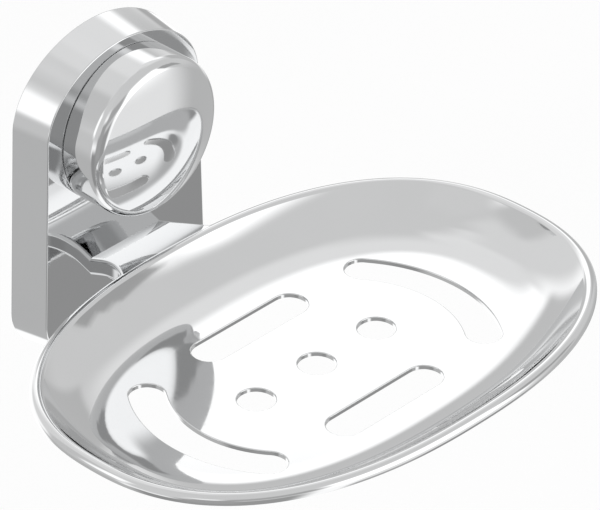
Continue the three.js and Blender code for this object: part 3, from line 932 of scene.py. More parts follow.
@dataclass
class Base:
    """The hollow arched base against the wall."""

    height: float = 71.6
    spring_width: float = 45.6
    bottom_width: float = 49.4
    arch_rise: float = 17.2
    arch_power: float = 1.94
    corner_radius: float = 9.0
    depth: float = 9.6
    draft: float = 1.4
    edge_radius: float = 0.3
    edge_steps: int = 8
    wall: float = 2.2
    back_round: float = 0.25
    fillet: float = 0.9
    screw_bore: float = 4.6
    screw_distance: float = 4.5
    screw_patch: float = 5.0
    rib_half: float = 8.7
    rib_back: float = 1.9
    rib: float = 1.5
    rib_bottom: float = 22.7
    web_bottom: float = 25.9
    web_front: float = 8.5
    boss: float = 8.4
    boss_height: float = 3.9
    boss_round: float = 0.4
    boss_steps: int = 64
    mouth_round: float = 0.3
    rib_round: float = 0.3
    web_round: float = 0.2
    corner_steps: int = 18
    arch_steps: int = 48
    flat_margin: float = 1.0
    side_shares: tuple[float, ...] = (0.02, 0.5, 0.97)

    @property
    def root(self) -> float:
        """How far from the middle the pieces inside end, half-way into the wall."""
        return (self.height - self.wall) / 2

    def outline(self) -> Loop:
        """The front outline in X and Z.

        Returns:
            Points and outward directions, from the middle of the bottom round to it again.
        """
        bottom, r, p = -self.height / 2, self.corner_radius, self.arch_power
        spring = np.array([self.spring_width / 2, self.height / 2 - self.arch_rise])
        rise = spring[1] - bottom
        lean = math.atan2(self.bottom_width / 2 - spring[0], rise)
        centre = (spring[0] + ((rise - r) * math.sin(lean) - r) / math.cos(lean), bottom + r)
        flat = [(x, bottom) for x in (0.0, self.screw_patch, centre[0] - self.flat_margin)]
        corner_away = unit(np.linspace(-RIGHT_ANGLE, lean, self.corner_steps + 1))
        corner = centre + r * corner_away
        side = corner[-1] + np.outer(self.side_shares, spring - corner[-1])
        turn = np.linspace(0.0, RIGHT_ANGLE, self.arch_steps + 1)
        lead = np.maximum(unit(turn), 0.0) ** (2 / p)
        axes = np.array([spring[0], self.arch_rise])
        half = np.concatenate([flat, corner, side, lead * axes + (0.0, spring[1])])
        away = np.concatenate([
            [(0.0, -1.0)] * len(flat), corner_away, [unit(lean)] * len(side),
            sized(lead ** (p - 1) / axes),
        ])
        points, facing = (np.concatenate([v, v[-2:0:-1] * (-1.0, 1.0)]) for v in (half, away))
        return points, facing

    def section(self) -> Section:
        """The wall's profile.

        Returns:
            Growth beyond the front outline, and distance from the wall.
        """
        e, r, f, slope = self.edge_radius, self.back_round, self.fillet, self.draft / self.depth
        side, inner, inside_end = slope * e, self.draft - self.wall, self.depth - self.wall
        section = Section().arc((side - e, self.depth - e), e, 90.0, 0.0, self.edge_steps)
        section.line((side, self.depth - e), (self.draft - slope * r, r))
        section.arc((self.draft - r, r), r, 0.0, -90.0, 4)
        section.arc((inner + r, r), r, -90.0, -180.0, 4)
        inner_top = inner - slope * inside_end
        section.line((inner, r), (inner_top + slope * f, inside_end - f))
        return section.arc((inner_top - f, inside_end - f), f, 0.0, 90.0, 5)

    def build(self) -> None:
        """Makes the shell."""
        skin = Skin(Axes.INTO_ROOM)
        rings = swept(self.section(), *self.outline())
        skin.grid(rings)
        skin.ends(rings)
        self.open_bottom(skin, len(rings[0][0]))
        self.inside(skin)
        skin.build("base_cover", "base_shell", Slot.CHROME)

    def open_bottom(self, skin: Skin, sides: int) -> None:
        """Cuts the set screw's hole through the outside of the bottom edge.

        Args:
            skin: The mesh, which starts with the shell's rings.
            sides: How many points each ring has.
        """
        first = (self.edge_steps + 1) * sides
        beside = (first, first + sides - 1)
        skin.faces = [face for face in skin.faces if face[0][0] not in beside]
        near, far, half = self.back_round, self.depth - self.edge_radius, self.screw_patch

        def level(plan: Array) -> Array:
            """How far below the middle the edge lies, over X and the distance from the wall."""
            return self.height / 2 + self.draft - self.draft / self.depth * plan[:, 1]

        skin.axes = Axes.UPSIDE_DOWN
        hole = Opening.straight(0.0, self.screw_distance, self.screw_bore, self.screw_bore)
        border = [(-half, near), (0.0, near), (half, near), (half, far), (0.0, far), (-half, far)]
        edge = Sheet(self.wall, [hole], level)
        edge.build(skin, np.array(border), np.zeros((0, 2)), below=False)
        last, facing = edge.wall(hole, False)[-1]
        skin.grid([(last, facing), (raised(last[:, :2], self.root), facing)])

    def inside(self, skin: Skin) -> None:
        """Adds the rib that hangs on the bracket, its web, and the boss for the set screw.

        Args:
            skin: The mesh in the making.
        """
        skin.axes = Axes.UPRIGHT
        half, back, root = self.rib_half, -self.rib_back, self.root
        rib = box_corners(-half, back - self.rib, half, back, self.rib_round)
        skin.prism(rib, self.rib_bottom, root, self.web_round)
        web = box_corners(-self.rib / 2, -self.web_front, self.rib / 2, back, self.web_round)
        skin.prism(web, self.web_bottom, root, self.web_round)
        skin.origin = (0.0, -self.screw_distance, 0.0)
        bore, out, top = self.screw_bore / 2, self.boss / 2, self.boss_height - root
        e, r = self.mouth_round, self.boss_round
        boss = Section().line((bore, -root), (bore, top - e))
        boss.arc((bore + e, top - e), e, 180.0, 90.0, 3)
        boss.line((bore + e, top), (out - r, top)).arc((out - r, top - r), r, 90.0, 0.0, 4)
        skin.grid(turned(boss.line((out, top - r), (out, -root)), self.boss_steps))


# The knob


@dataclass
class Knob:
    """The round domed knob on the base's face."""

    z: float = 15.0
    radius: float = 18.6
    rear: float = 10.2
    rim_rear: float = 9.72
    side: float = 7.0
    shoulder: float = 3.0
    dome_radius: float = 56.0
    rear_round: float = 0.2
    rim_round: float = 0.3
    recess_round: float = 0.5
    wall: float = 2.4
    recess: float = 5.4
    hub_radius: float = 7.6
    steps: int = 192

    def section(self) -> Section:
        """The knob's outside.

        Returns:
            Radius, and distance from the wall.
        """
        rim, side_end = self.radius - self.shoulder, self.rear + self.side
        inner_dome = self.dome_radius - self.shoulder
        lean = math.asin(rim / inner_dome)
        centre, tilt = side_end - inner_dome * math.cos(lean), 90.0 - math.degrees(lean)
        e = self.rear_round
        section = Section().arc((0.0, centre), self.dome_radius, 90.0, tilt, 24)
        section.arc((rim, side_end), self.shoulder, tilt, 0.0, 12)
        section.line((self.radius, side_end), (self.radius, self.rim_rear + e))
        return section.arc((self.radius - e, self.rim_rear + e), e, 0.0, -90.0, 5)

    def rear_section(self) -> Section:
        """The rim's rear, the recess and the hub, seen only from the wall.

        Returns:
            Radius, and distance from the wall.
        """
        inner, back = self.radius - self.wall, self.rear + self.recess
        rim, hub = self.rim_rear, self.hub_radius
        e, r, f = self.rim_round, self.recess_round, self.rear_round
        section = Section().line((self.radius - f, rim), (inner + e, rim))
        section.arc((inner + e, rim + e), e, -90.0, -180.0, 4)
        section.line((inner, rim + e), (inner, back - r))
        section.arc((inner - r, back - r), r, 0.0, 90.0, 4).line((inner - r, back), (hub + r, back))
        section.arc((hub + r, back - r), r, 90.0, 180.0, 4)
        section.line((hub, back - r), (hub, self.rear + f))
        section.arc((hub - f, self.rear + f), f, 0.0, -90.0, 3)
        return section.line((hub - f, self.rear), (0.0, self.rear))

    def build(self) -> None:
        """Makes the knob."""
        skin = Skin(Axes.INTO_ROOM, (0.0, 0.0, self.z))
        for skin.coat, section in enumerate((self.section(), self.rear_section())):
            skin.grid(turned(section, self.steps))
        skin.build("knob", "knob_cap", Slot.CHROME, CASTING)


# The arm


@dataclass
class Arm:
    """The short flared arm between the base and the dish, with the pad under the tray."""

    dish: Dish
    width: float = 22.0
    thickness: float = 4.4
    rise: float = 3.13
    straight: float = 3.0
    flare_radius: float = 16.64
    edge_radius: float = 1.1
    face: float = 9.6
    sunk: float = 0.4
    stem_width: float = 9.4
    stem_depth: float = 8.6
    stem_top: float = 2.2
    stem_overlap: float = 2.0
    stem_edge: float = 0.8
    pad_width: float = 24.0
    pad_length: float = 12.5
    pad_setback: float = 3.0
    pad_corner: float = 3.0
    pad_gap: float = 0.1
    pad_grid: tuple[int, int] = (16, 12)
    pad_steps: int = 8
    lean_share: float = 1.25
    blend_dip: float = 0.06
    steps: int = 28
    corner_steps: int = 8

    @property
    def rear_y(self) -> float:
        """The rearmost point of the dish."""
        return -(self.dish.reach - self.dish.width / 2)

    @property
    def run(self) -> float:
        """From the base's face to the crest of the dish's lip."""
        return -self.rear_y - self.face + self.dish.lip_radius

    @property
    def root_top(self) -> float:
        """Height of the arm's top where it leaves the base."""
        return self.dish.lip_z + self.dish.lip_radius - self.rise

    @property
    def turns(self) -> Array:
        """The angles round the cross-section, in radians."""
        quarter = RIGHT_ANGLE * np.linspace(0.0, 1.0, self.corner_steps + 1)
        return np.concatenate([RIGHT_ANGLE * start - quarter for start in (1, 0, -1, -2)])

    def half_width(self, distance: float) -> float:
        """Half the arm's width at a distance out from the base."""
        turn = min(max(distance - self.straight, 0.0) / self.flare_radius, 1.0)
        return self.width / 2 + self.flare_radius * (1 - math.sqrt(1 - turn**2))

    def top(self, distance: float) -> float:
        """Height of the arm's top at a distance out from the base."""
        share = min(distance / self.run, 1.0)
        return self.root_top + (self.rise - self.blend_dip) * math.sin(share * RIGHT_ANGLE)

    def ring(self, distance: float) -> Array:
        """The neck's rounded cross-section.

        Args:
            distance: How far it is from the base's face.

        Returns:
            Its points.
        """
        r, each = self.edge_radius, self.corner_steps + 1
        half, high = self.half_width(distance) - r, self.top(distance) - r
        low = high + 2 * r - self.thickness
        centres = np.repeat([(half, high), (half, low), (-half, low), (-half, high)], each, axis=0)
        plan = centres + r * unit(self.turns)
        return np.insert(plan, 1, -self.face - distance, axis=1)

    def neck(self, skin: Skin) -> None:
        """Adds the neck, which runs into the dish's lip.

        Args:
            skin: The mesh in the making.
        """
        out = np.insert(unit(self.turns), 1, 0.0, axis=1)
        along, step, rings = out[:, ::-1] * (1.0, 1.0, -1.0), 0.02, []
        for distance in np.linspace(-self.sunk, self.run, self.steps + 1):
            normals = np.cross(along, self.ring(distance + step) - self.ring(distance - step))
            flip = np.sign((normals * out).sum(axis=1, keepdims=True))
            rings.append((self.ring(distance), normals * flip))
        skin.grid(rings)
        skin.lid(rings[-1][0], (0.0, -1.0, 0.0))

    def build(self) -> None:
        """Makes the arm."""
        skin = Skin()
        self.neck(skin)
        bottom, pad_y = self.root_top - self.stem_depth, self.rear_y - self.pad_setback
        half, front, edge = self.stem_width / 2, pad_y - self.stem_overlap, self.stem_edge
        stem = box_corners(-half, front, half, self.sunk - self.face, edge)
        skin.prism(stem, bottom, self.root_top - self.stem_top, edge, steps=5)
        self.pad(skin, pad_y, bottom)
        skin.build("arm", "support_arm", Slot.CHROME)

    def pad(self, skin: Skin, pad_y: float, bottom: float) -> None:
        """Adds the pad, whose top lies against the underside of the tray.

        Args:
            skin: The mesh in the making.
            pad_y: Where the pad starts, nearest the wall.
            bottom: Height of its underside.
        """
        half, front, dish = self.pad_width / 2, pad_y - self.pad_length, self.dish
        corners = box_corners(-half, front, half, pad_y, self.pad_corner)
        outline, away = rounded_outline(corners, self.pad_steps)

        def under(plan: Array) -> Array:
            """Height of the tray's underside over plan points, a hair lower."""
            return dish.height(plan) - dish.sheet * self.lean_share - self.pad_gap

        across = np.linspace(1 - half, half - 1, self.pad_grid[0])
        along = np.linspace(front + 1, pad_y - 1, self.pad_grid[1])
        rows = np.meshgrid(across, along)
        inside = np.column_stack([row.ravel() for row in rows])
        Sheet(0.0, [], under).build(skin, outline, inside, below=False)
        e = self.stem_edge
        foot = Section().arc((-e, bottom + e), e, 0.0, -90.0, 5)
        rings = [(raised(outline, under(outline)), raised(away, 0.0)), *swept(foot, outline, away)]
        skin.grid(rings)
        skin.lid(rings[-1][0], (0.0, 0.0, -1.0))


# The hardware


@dataclass
class Bracket:
    """The bent sheet bracket on the wall, with its hook at the top and its lip at the bottom."""

    width: float = 36.0
    top: float = 22.4
    bottom: float = -26.605
    corner: float = 5.0
    sheet: float = 1.6
    slot_x: float = 11.5
    slot_length: float = 8.0
    slot_width: float = 4.8
    hook_front: float = 5.3
    hook_top: float = 25.6
    hook_half: float = 9.0
    hook_bend: float = 1.9
    hook_inner_bend: float = 0.4
    tip_round: float = 0.3
    relief: float = 1.05
    lip_half: float = 7.0
    lip_end: float = 7.1
    edge: float = 0.25

    def build(self) -> None:
        """Makes the bracket."""
        skin, s, e, tip = Skin(Axes.INTO_ROOM), self.sheet, self.edge, self.tip_round
        corners = box_corners(-self.width / 2, self.bottom, self.width / 2, self.top, self.corner)
        skin.prism(corners, 0.0, s, e, lids=False)
        slot = (0.0, self.slot_length, self.slot_width)
        slots = [Opening.straight(side * self.slot_x, *slot) for side in (-1, 1)]
        outline, away = rounded_outline(corners)
        plate = Sheet(s, slots, lambda plan: np.full(len(plan), s), edge_round=e)
        plate.build(skin, outline - away * e, np.zeros((0, 2)))
        skin.axes = Axes.ALONG_WALL
        front, top, end = self.hook_front, self.top, self.lip_end
        tab, split, seam = front - s, (top + self.hook_top) / 2, 0.1
        hook = [
            (s / 2, top - s, 0.0), (front, top - s, self.hook_bend), (front, split, 0.0),
            (tab, split, 0.0), (tab, top, self.hook_inner_bend), (s / 2, top, 0.0),
        ]
        ear = [
            (tab, split - seam, 0.0), (front, split - seam, 0.0),
            (front, self.hook_top, tip), (tab, self.hook_top, tip),
        ]
        lip = [
            (s / 2, self.bottom, 0.0), (end, self.bottom, tip),
            (end, self.bottom + s, tip), (s / 2, self.bottom + s, 0.0),
        ]
        skin.prism(hook, -self.hook_half, self.hook_half, e)
        skin.prism(ear, -self.hook_half, -self.relief, e)
        skin.prism(ear, self.relief, self.hook_half, e)
        skin.prism(lip, -self.lip_half, self.lip_half, e)
        skin.build("bracket", "wall_bracket", Slot.ZINC)


@dataclass(frozen=True)
class Ring:
    """One ring of a turned piece; with flats it is a hexagon, measured to its flats."""

    radius: float
    height: float
    flats: bool = False
    limit: float = math.inf

    def points(self, angles: Array) -> Array:
        """The ring's points about the piece's axis.

        Args:
            angles: Where they lie round it, in radians.

        Returns:
            The points.
        """
        radius = np.full(len(angles), self.radius)
        if self.flats:
            radius /= np.cos((angles + math.pi / 6) % (math.pi / 3) - math.pi / 6)
        return raised(unit(angles) * np.minimum(radius, self.limit)[:, None], self.height)


def threaded(
    radius: float, low: float, high: float, pitch: float = 0.7, depth: float = 0.32,
) -> list[Ring]:
    """Rings of a threaded rod's side with a chamfer at each end.

    Args:
        radius: The thread's outer radius.
        low: Height of its lower end.
        high: Height of its upper end.
        pitch: From one crest to the next.
        depth: From crest to root.

    Returns:
        Rings from the lower end's middle to the upper end's.
    """
    end, chamfer, lead = radius - depth - 0.15, 0.45, 0.5
    shape = ((radius, 0.08), (radius, 0.24), (radius - depth, 0.58), (radius - depth, 0.74))
    rings = [Ring(0.0, low), Ring(end, low), Ring(radius - 0.1, low + chamfer)]
    for i in range(max(int((high - low - 2 * lead) / pitch), 0)):
        start = low + lead + i * pitch
        rings += [Ring(out, start + share * pitch) for out, share in shape]
    return rings + [Ring(radius - 0.1, high - chamfer), Ring(end, high), Ring(0.0, high)]


def socket(flats: float, low: float, depth: float, mouth: float, bevel: float) -> list[Ring]:
    """Rings of a hexagon socket.

    Args:
        flats: Width across its flats.
        low: Height of the face that it opens in.
        depth: Its depth.
        mouth: Radius of its mouth.
        bevel: How far its mouth is bevelled.

    Returns:
        Rings from its ground's middle to its mouth.
    """
    half, ground = flats / 2, low + depth
    sides = [Ring(half, level, True) for level in (ground, low + bevel)]
    return [Ring(0.0, ground), *sides, Ring(mouth, low)]


def nut(flats: float, bore: float, low: float, height: float) -> list[Ring]:
    """Rings of a hexagon nut with chamfered corners.

    Args:
        flats: Width across its flats.
        bore: The bore's diameter.
        low: Height of its lower face.
        height: Its own height.

    Returns:
        Rings round the section, starting and ending in the bore.
    """
    half, high, inside, e = flats / 2, low + height, bore / 2, 0.3
    chamfer = [(half * (0.96 + 0.2 * i / 5), 0.5 * i / 5) for i in range(6)]
    return [
        Ring(inside, low + e), Ring(inside + e, low), Ring(half * 0.95, low),
        *(Ring(half, low + rise, True, limit) for limit, rise in chamfer),
        *(Ring(half, high - rise, True, limit) for limit, rise in reversed(chamfer)),
        Ring(half * 0.95, high), Ring(inside + e, high), Ring(inside, high - e),
        Ring(inside, low + e),
    ]


def washer(diameter: float, bore: float, low: float, thickness: float) -> list[Ring]:
    """Rings of a flat washer with broken edges.

    Args:
        diameter: Its outer diameter.
        bore: The bore's diameter.
        low: Height of its lower face.
        thickness: Its thickness.

    Returns:
        Rings round the section, starting and ending in the bore.
    """
    out, inside, high, e = diameter / 2, bore / 2, low + thickness, 0.12
    section = [
        (inside, low + e), (inside + e, low), (out - e, low), (out, low + e), (out, high - e),
        (out - e, high), (inside + e, high), (inside, high - e), (inside, low + e),
    ]
    return [Ring(*point) for point in section]


@dataclass(frozen=True)
class Fastener:
    """A screw, stud, nut or washer along one of the part's axes."""

    name: str
    node: str
    slot: Slot
    axes: Axes
    origin: Place
    rings: list[Ring]
    steps: int = 72
    crease: float = 32.0

    def build(self) -> None:
        """Makes the piece."""
        skin = Skin(self.axes, self.origin)
        angles = np.linspace(0.0, FULL_TURN, self.steps, endpoint=False)
        lead = raised(unit(angles), 0.0)
        skin.grid([(ring.points(angles), lead) for ring in self.rings])
        skin.build(self.name, self.node, self.slot, crease=self.crease)


@dataclass(frozen=True)
class SpringWasher:
    """The split ring under the arm screw's head."""

    z: float
    low: float
    bore: float
    diameter: float = 9.0
    thickness: float = 1.2
    split: float = 1.0
    lean: float = 20.0
    edge: float = 0.12
    steps: int = 72
    crease: float = 32.0

    def build(self) -> None:
        """Makes the washer."""
        skin = Skin(Axes.INTO_ROOM, (0.0, 0.0, self.z))
        inside, out, thick = self.bore / 2, self.diameter / 2, self.thickness
        corners = box_corners(inside, self.low, out, self.low + thick, self.edge)
        section, away = rounded_outline(corners, 3)
        middle = (inside + out) / 2
        gap, lean = self.split / middle, math.tan(math.radians(self.lean))
        shift = (section[:, 1] - self.low - thick / 2) * lean / middle
        rings = []
        for share in np.linspace(0.0, 1.0, self.steps + 1):
            lead = unit(RIGHT_ANGLE + gap / 2 + share * (FULL_TURN - gap) + shift)
            rings.append(tuple(raised(lead * v[:, :1], v[:, 1]) for v in (section, away)))
        skin.grid(rings)
        for ring in (rings[0], rings[-1]):
            skin.lid(ring[0], (1.0, 0.0, 0.0))
        skin.build("split_washer", "arm_spring_washer", Slot.ZINC, crease=self.crease)


@dataclass
class Hardware:
    """The screws, studs, nuts and washers inside the base and under the tray."""

    dish: Dish
    face: float = 9.6
    face_wall: float = 2.2
    knob_z: float = 15.0
    knob_stud_tip: float = 16.6
    knob_washer: float = 9.0
    spacer: float = 13.6
    spacer_height: float = 0.6
    arm_z: float = -19.405
    arm_screw: float = 5.0
    arm_screw_tip: float = 17.2
    arm_head: float = 8.5
    arm_head_height: float = 2.6
    arm_washer: float = 10.0
    arm_washer_sheet: float = 1.0
    spring_sheet: float = 1.2
    set_screw_y: float = -4.5
    set_screw_low: float = -35.2
    set_screw_high: float = -26.905
    stud: float = 4.0
    stud_end: float = 0.8
    dish_stud_low: float = -28.5
    stud_x: float = 7.0
    stud_y: float = -31.05
    stud_gap: float = 0.3
    dish_washer: float = 8.0
    dish_washer_low: float = -24.505
    washer_sheet: float = 0.8
    nut_flats: float = 7.0
    nut_height: float = 3.2
    bore_gap: float = 0.6
    lean_share: float = 1.2
    arm_socket: float = 3.0
    arm_socket_depth: float = 1.7
    set_screw_socket: float = 2.0
    set_screw_socket_depth: float = 2.2

    def stud_top(self) -> float:
        """Where a dish stud ends.

        Returns:
            The height, just under the tray.
        """
        half = self.stud / 2
        corners = [(self.stud_x + x, self.stud_y + y) for x in (-half, half) for y in (-half, half)]
        low = self.dish.height(np.array(corners)).min()
        return low - self.lean_share * self.dish.sheet - self.stud_gap

    def arm_head_rings(self, low: float) -> list[Ring]:
        """The arm screw from the ground of its socket to its tip.

        Args:
            low: Height of the head's free face.

        Returns:
            Its rings.
        """
        out, high = self.arm_head / 2, low + self.arm_head_height
        return [
            *socket(self.arm_socket, low, self.arm_socket_depth, mouth=1.9, bevel=0.15),
            Ring(out - 0.4, low), Ring(out - 0.15, low + 0.1),
            Ring(out, low + 0.4), Ring(out, high - 0.25), Ring(out - 0.15, high),
            *threaded(self.arm_screw / 2, high - 0.5, self.arm_screw_tip)[1:],
        ]

    def build(self) -> None:
        """Makes every piece, from the wall outwards."""
        room, up, zinc, steel = Axes.INTO_ROOM, Axes.UPRIGHT, Slot.ZINC, Slot.STAINLESS
        knob, arm = (0.0, 0.0, self.knob_z), (0.0, 0.0, self.arm_z)
        bore, arm_bore = self.stud + self.bore_gap, self.arm_screw + self.bore_gap
        half, flats, height = self.stud / 2, self.nut_flats, self.nut_height
        inside, thin = self.face - self.face_wall, self.washer_sheet
        knob_nut = inside - thin - height
        arm_low = inside - self.arm_washer_sheet
        spring_low = arm_low - self.spring_sheet
        dish_low = self.dish_washer_low
        dish_nut = dish_low - height
        rod = threaded(half, knob_nut - self.stud_end, self.knob_stud_tip)
        disc = washer(self.knob_washer, bore, inside - thin, thin)
        spacer = washer(self.spacer, bore, self.face, self.spacer_height)
        bolt = self.arm_head_rings(spring_low - self.arm_head_height)
        arm_disc = washer(self.arm_washer, arm_bore, arm_low, self.arm_washer_sheet)
        low, depth = self.set_screw_low, self.set_screw_socket_depth
        grub = socket(self.set_screw_socket, low, depth, mouth=1.25, bevel=0.1)
        grub += threaded(half, low, self.set_screw_high)[2:]
        rows = [
            ("knob_rod", "knob_stud", zinc, room, knob, rod),
            ("knob_disc", "knob_washer", zinc, room, knob, disc),
            ("knob_hexagon", "knob_nut", zinc, room, knob, nut(flats, bore, knob_nut, height)),
            ("arm_bolt", "arm_screw", zinc, room, arm, bolt),
            ("arm_disc", "arm_washer", zinc, room, arm, arm_disc),
            ("grub_screw", "set_screw", steel, up, (0.0, self.set_screw_y, 0.0), grub),
            ("knob_ring", "knob_spacer", Slot.CHROME, room, knob, spacer),
        ]
        for side, x in (("left", -self.stud_x), ("right", self.stud_x)):
            place = (x, self.stud_y, 0.0)
            rod = threaded(half, self.dish_stud_low, self.stud_top())
            disc = washer(self.dish_washer, bore, dish_low, thin)
            hexagon = nut(flats, bore, dish_nut, height)
            rows += [
                (f"rod_{side}", f"dish_stud_{side}", steel, up, place, rod),
                (f"disc_{side}", f"dish_washer_{side}", zinc, up, place, disc),
                (f"hexagon_{side}", f"dish_nut_{side}", zinc, up, place, hexagon),
            ]
        for row in rows:
            Fastener(*row).build()
        SpringWasher(self.arm_z, spring_low, arm_bore, thickness=self.spring_sheet).build()


# The studio


@dataclass(frozen=True)
class SoftPatch:
    """A patch of painted reflection on the tent: a tone with soft edges, in degrees round the dish.
    """

    azimuth: float
    elevation: float
    width: float
    height: float
    softness: float
    tone: float

    def share(self, azimuth: Array, elevation: Array) -> Array:
        """How much of the patch's tone shows.

        Args:
            azimuth: The directions' azimuths.
            elevation: The directions' elevations.

        Returns:
            A share from 0 to 1 for each direction.
        """
        across = np.abs((azimuth - self.azimuth + 180.0) % 360.0 - 180.0)
        share = np.ones_like(azimuth)
        above = np.abs(elevation - self.elevation)
        for offset, size in ((across, self.width), (above, self.height)):
            edge = np.clip((size / 2 - offset) / self.softness + 0.5, 0.0, 1.0)
            share = share * edge * edge * (3 - 2 * edge)
        return share


@dataclass(frozen=True)
class LightTent:
    """The tent round the dish: a glowing sphere seen only in polished metal, painted with bright
    and dark reflections patch by patch.
    """

    radius: float = 0.9
    rows: int = 91
    columns: int = 180
    wall_tone: float = 1.35
    # Painted reflections: each row gives azimuth, elevation, width, height, softness and glow tone
    # of one bright or dark patch that the metal mirrors.
    patches: tuple[SoftPatch, ...] = tuple(
        SoftPatch(*row) for row in (
            (0, 75, 440, 74, 22, 0.8), (80, 58, 60, 26, 14, 1.02), (-5, 22, 84, 66, 18, 0.79),
            (21, 8, 26, 40, 6, 0.62), (37, -6, 14, 14, 6, 0.5), (-52, -14, 60, 28, 8, 1.05),
            (-13, -22, 50, 48, 22, 0.62), (20, -34, 36, 34, 10, 0.5), (108, 34, 56, 60, 16, 0.9),
            (131, 14, 26, 64, 10, 0.72), (175, 36, 50, 66, 14, 0.82), (152, 22, 18, 28, 8, 1.45),
            (147, -8, 26, 30, 10, 0.74), (139, -40, 64, 50, 14, 0.61),
            (-172, -32, 44, 50, 12, 0.37), (-134, -16, 66, 56, 14, 0.42),
            (-112, 28, 56, 28, 12, 0.52), (-146, 4, 28, 46, 10, 0.47), (45, 48, 62, 28, 20, 1),
            (56, 9, 34, 30, 8, 0.7), (48, 32, 40, 12, 8, 1.5), (-67, 19.5, 48, 42, 13, 1.75),
            (-37, 23, 12, 20, 3, 0.47), (-30, 21, 6, 18, 3, 0.47), (-25, 18, 8, 16, 3, 0.47),
            (-54, -41, 56, 26, 8, 0.52), (-46, -36, 24, 18, 8, 0.37),
        )
    )

    def tones(self, azimuth: Array, elevation: Array) -> Array:
        """The tent's painted reflection tone.

        Args:
            azimuth: The directions' azimuths.
            elevation: The directions' elevations.

        Returns:
            The tone in each direction.
        """
        tone = np.full_like(azimuth, self.wall_tone)
        for patch in self.patches:
            tone += (patch.tone - tone) * patch.share(azimuth, elevation)
        return tone

    def build(self, centre: Vector) -> None:
        """Makes the tent, whose points carry the painted reflection tones.

        Args:
            centre: The sphere's centre, in metres.
        """
        rows, columns = self.rows, self.columns
        around = np.arange(columns) * 360 / columns
        up, around = np.meshgrid(np.linspace(-90, 90, rows), around, indexing="ij")
        up, around = up.ravel(), around.ravel()
        level = unit(np.radians(up))
        direction = raised(unit(np.radians(around)) * level[:, :1], level[:, 1])
        faces = []
        for low in range(0, columns * (rows - 1), columns):
            for side in range(columns):
                after = (side + 1) % columns
                faces.append((low + side, low + after, low + columns + after, low + columns + side))
        mesh = bpy.data.meshes.new("painted_reflection_tent")
        mesh.from_pydata((direction * self.radius + np.array(centre)).tolist(), [], faces)
        # The painted reflection tones, stored on the points for the glowing material.
        tone = self.tones(around, up)
        layer = mesh.color_attributes.new("tone", "FLOAT_COLOR", "POINT")
        colours = np.column_stack([tone, tone, tone, np.ones_like(tone)])
        layer.data.foreach_set("color", colours.ravel())
        mesh.materials.append(self.paper())
        tent = added("painted_reflection_tent", mesh)
        tent.visible_camera = False
        tent.visible_diffuse = False
        tent.visible_shadow = False
        tent.visible_transmission = False

    def paper(self) -> bpy.types.Material:
        """A glowing material that shows the painted reflection tone, which the metal mirrors.

        Returns:
            The material.
        """
        material = bpy.data.materials.new("painted_reflection_glow")
        graph = Graph(material)
        graph.tree.nodes.clear()
        tone = graph.tree.nodes.new("ShaderNodeAttribute")
        tone.attribute_name = "tone"
        glow = {"Color": tone.outputs["Color"], "Strength": 1.0}
        # Emission that glows with the painted reflection tone; the tent is no lamp and is seen only
        # in reflections.
        light = graph.add("ShaderNodeEmission", "Emission", glow)
        graph.feed(graph.tree.nodes.new("ShaderNodeOutputMaterial"), {"Surface": light})
        return material


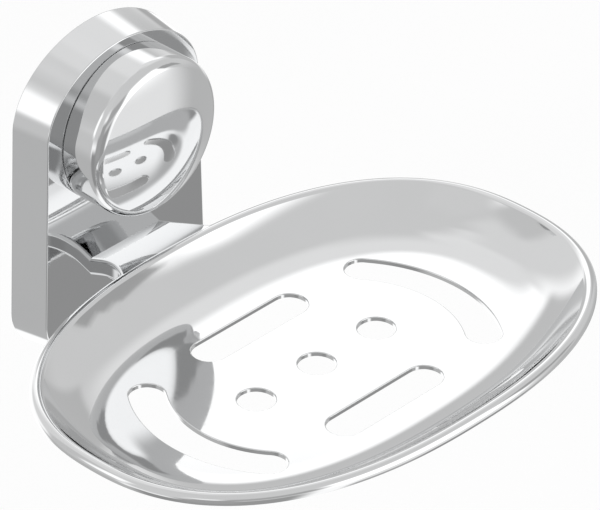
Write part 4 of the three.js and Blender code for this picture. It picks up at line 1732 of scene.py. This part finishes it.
@dataclass
class Studio:
    """A white room with a pale floor, a tent of painted reflections for the metal and the
    photographer's view.
    """

    azimuth: float = -47.0
    elevation: float = 34.2
    roll: float = -0.6
    distance: float = 1250.0
    look_at: Place = (0.0, -66.9, -13.1)
    pixels_per_mm: float = 4.72
    seen_at: Pair = (317.2, 334.3)
    image: Pair = (600, 510)
    sensor: float = 36.0
    floor_z: float = -1.2
    floor_half: float = 12.0
    seen_light: float = 1.0
    soft_light: float = 0.98
    lamp_at: Place = (-1.2, -1.4, 2.2)
    lamp_size: float = 2.4
    lamp_power: float = 8.0
    tent: LightTent = field(default_factory=LightTent)

    def camera(self) -> None:
        """Makes the camera, so that the dish's middle falls where the photograph has it."""
        az, el, roll = (math.radians(v) for v in (self.azimuth, self.elevation, self.roll))
        back = Vector((math.cos(el) * math.sin(az), -math.cos(el) * math.cos(az), math.sin(el)))
        right = Vector((math.cos(az), math.sin(az), 0.0))
        up = back.cross(right)
        right, up = (
            math.cos(roll) * right - math.sin(roll) * up,
            math.sin(roll) * right + math.cos(roll) * up,
        )
        middle = Vector(self.look_at)
        place = middle + back * self.distance
        dx = (self.image[0] / 2 - self.seen_at[0]) / self.pixels_per_mm
        dy = (self.image[1] / 2 - self.seen_at[1]) / self.pixels_per_mm
        ahead = (middle + right * dx - up * dy - place).normalized()
        right = (right - ahead * right.dot(ahead)).normalized()
        up = right.cross(ahead)
        data = bpy.data.cameras.new("photo_view")
        data.sensor_width = self.sensor
        data.lens = self.sensor * self.distance * self.pixels_per_mm / self.image[0]
        data.clip_start, data.clip_end = 0.01, 100.0
        camera = added("photo_view", data)
        turn = Matrix((right, up, -ahead)).transposed().to_4x4()
        camera.matrix_world = Matrix.Translation(place * MM) @ turn
        bpy.context.scene.camera = camera

    def world(self) -> None:
        """White wherever the room is seen or mirrored, and plain soft light elsewhere."""
        world = bpy.data.worlds.new("white_room")
        graph = Graph(world)
        graph.tree.nodes.clear()
        path = graph.tree.nodes.new("ShaderNodeLightPath").outputs
        seen = graph.maths("MAXIMUM", path["Is Camera Ray"], path["Is Glossy Ray"])
        seen = graph.maths("MAXIMUM", seen, path["Is Transmission Ray"])
        soft, white = (
            graph.add("ShaderNodeBackground", "Background", {
                "Color": (1.0, 1.0, 1.0, 1.0), "Strength": strength,
            })
            for strength in (self.soft_light, self.seen_light)
        )
        light = graph.add("ShaderNodeMixShader", "Shader", {"Fac": seen, 1: soft, 2: white})
        graph.feed(graph.tree.nodes.new("ShaderNodeOutputWorld"), {"Surface": light})
        bpy.context.scene.world = world

    def floor(self) -> None:
        """Makes the pale floor, well below the dish."""
        mesh, half = bpy.data.meshes.new("floor"), self.floor_half
        corners = [(-half, -half), (half, -half), (half, half), (-half, half)]
        mesh.from_pydata([(x, y, self.floor_z) for x, y in corners], [], [(0, 1, 2, 3)])
        mesh.materials.append(PaleFloor("pale_floor").material())
        added("floor", mesh)

    def lamp(self) -> None:
        """Makes one broad soft lamp above the camera's left."""
        data = bpy.data.lights.new("soft_lamp", "AREA")
        data.shape, data.size, data.energy = "DISK", self.lamp_size, self.lamp_power
        lamp = added("soft_lamp", data)
        lamp.location = self.lamp_at
        lamp.rotation_euler = (-Vector(self.lamp_at)).to_track_quat("-Z", "Y").to_euler()
        lamp.visible_glossy = False

    def build(self) -> None:
        """Makes the room, its light and the camera."""
        bpy.context.scene.view_settings.view_transform = "Standard"
        self.camera()
        self.world()
        self.floor()
        self.lamp()
        self.tent.build(Vector(self.look_at) * MM)


def main() -> None:
    """Builds the room, then the dish from the wall outwards."""
    logging.basicConfig(level=logging.INFO, format="%(name)s: %(message)s")
    Studio().build()
    dish = Dish()
    Base().build()
    Bracket().build()
    Hardware(dish).build()
    Knob().build()
    Arm(dish).build()
    dish.build()


if __name__ == "__main__":
    main()
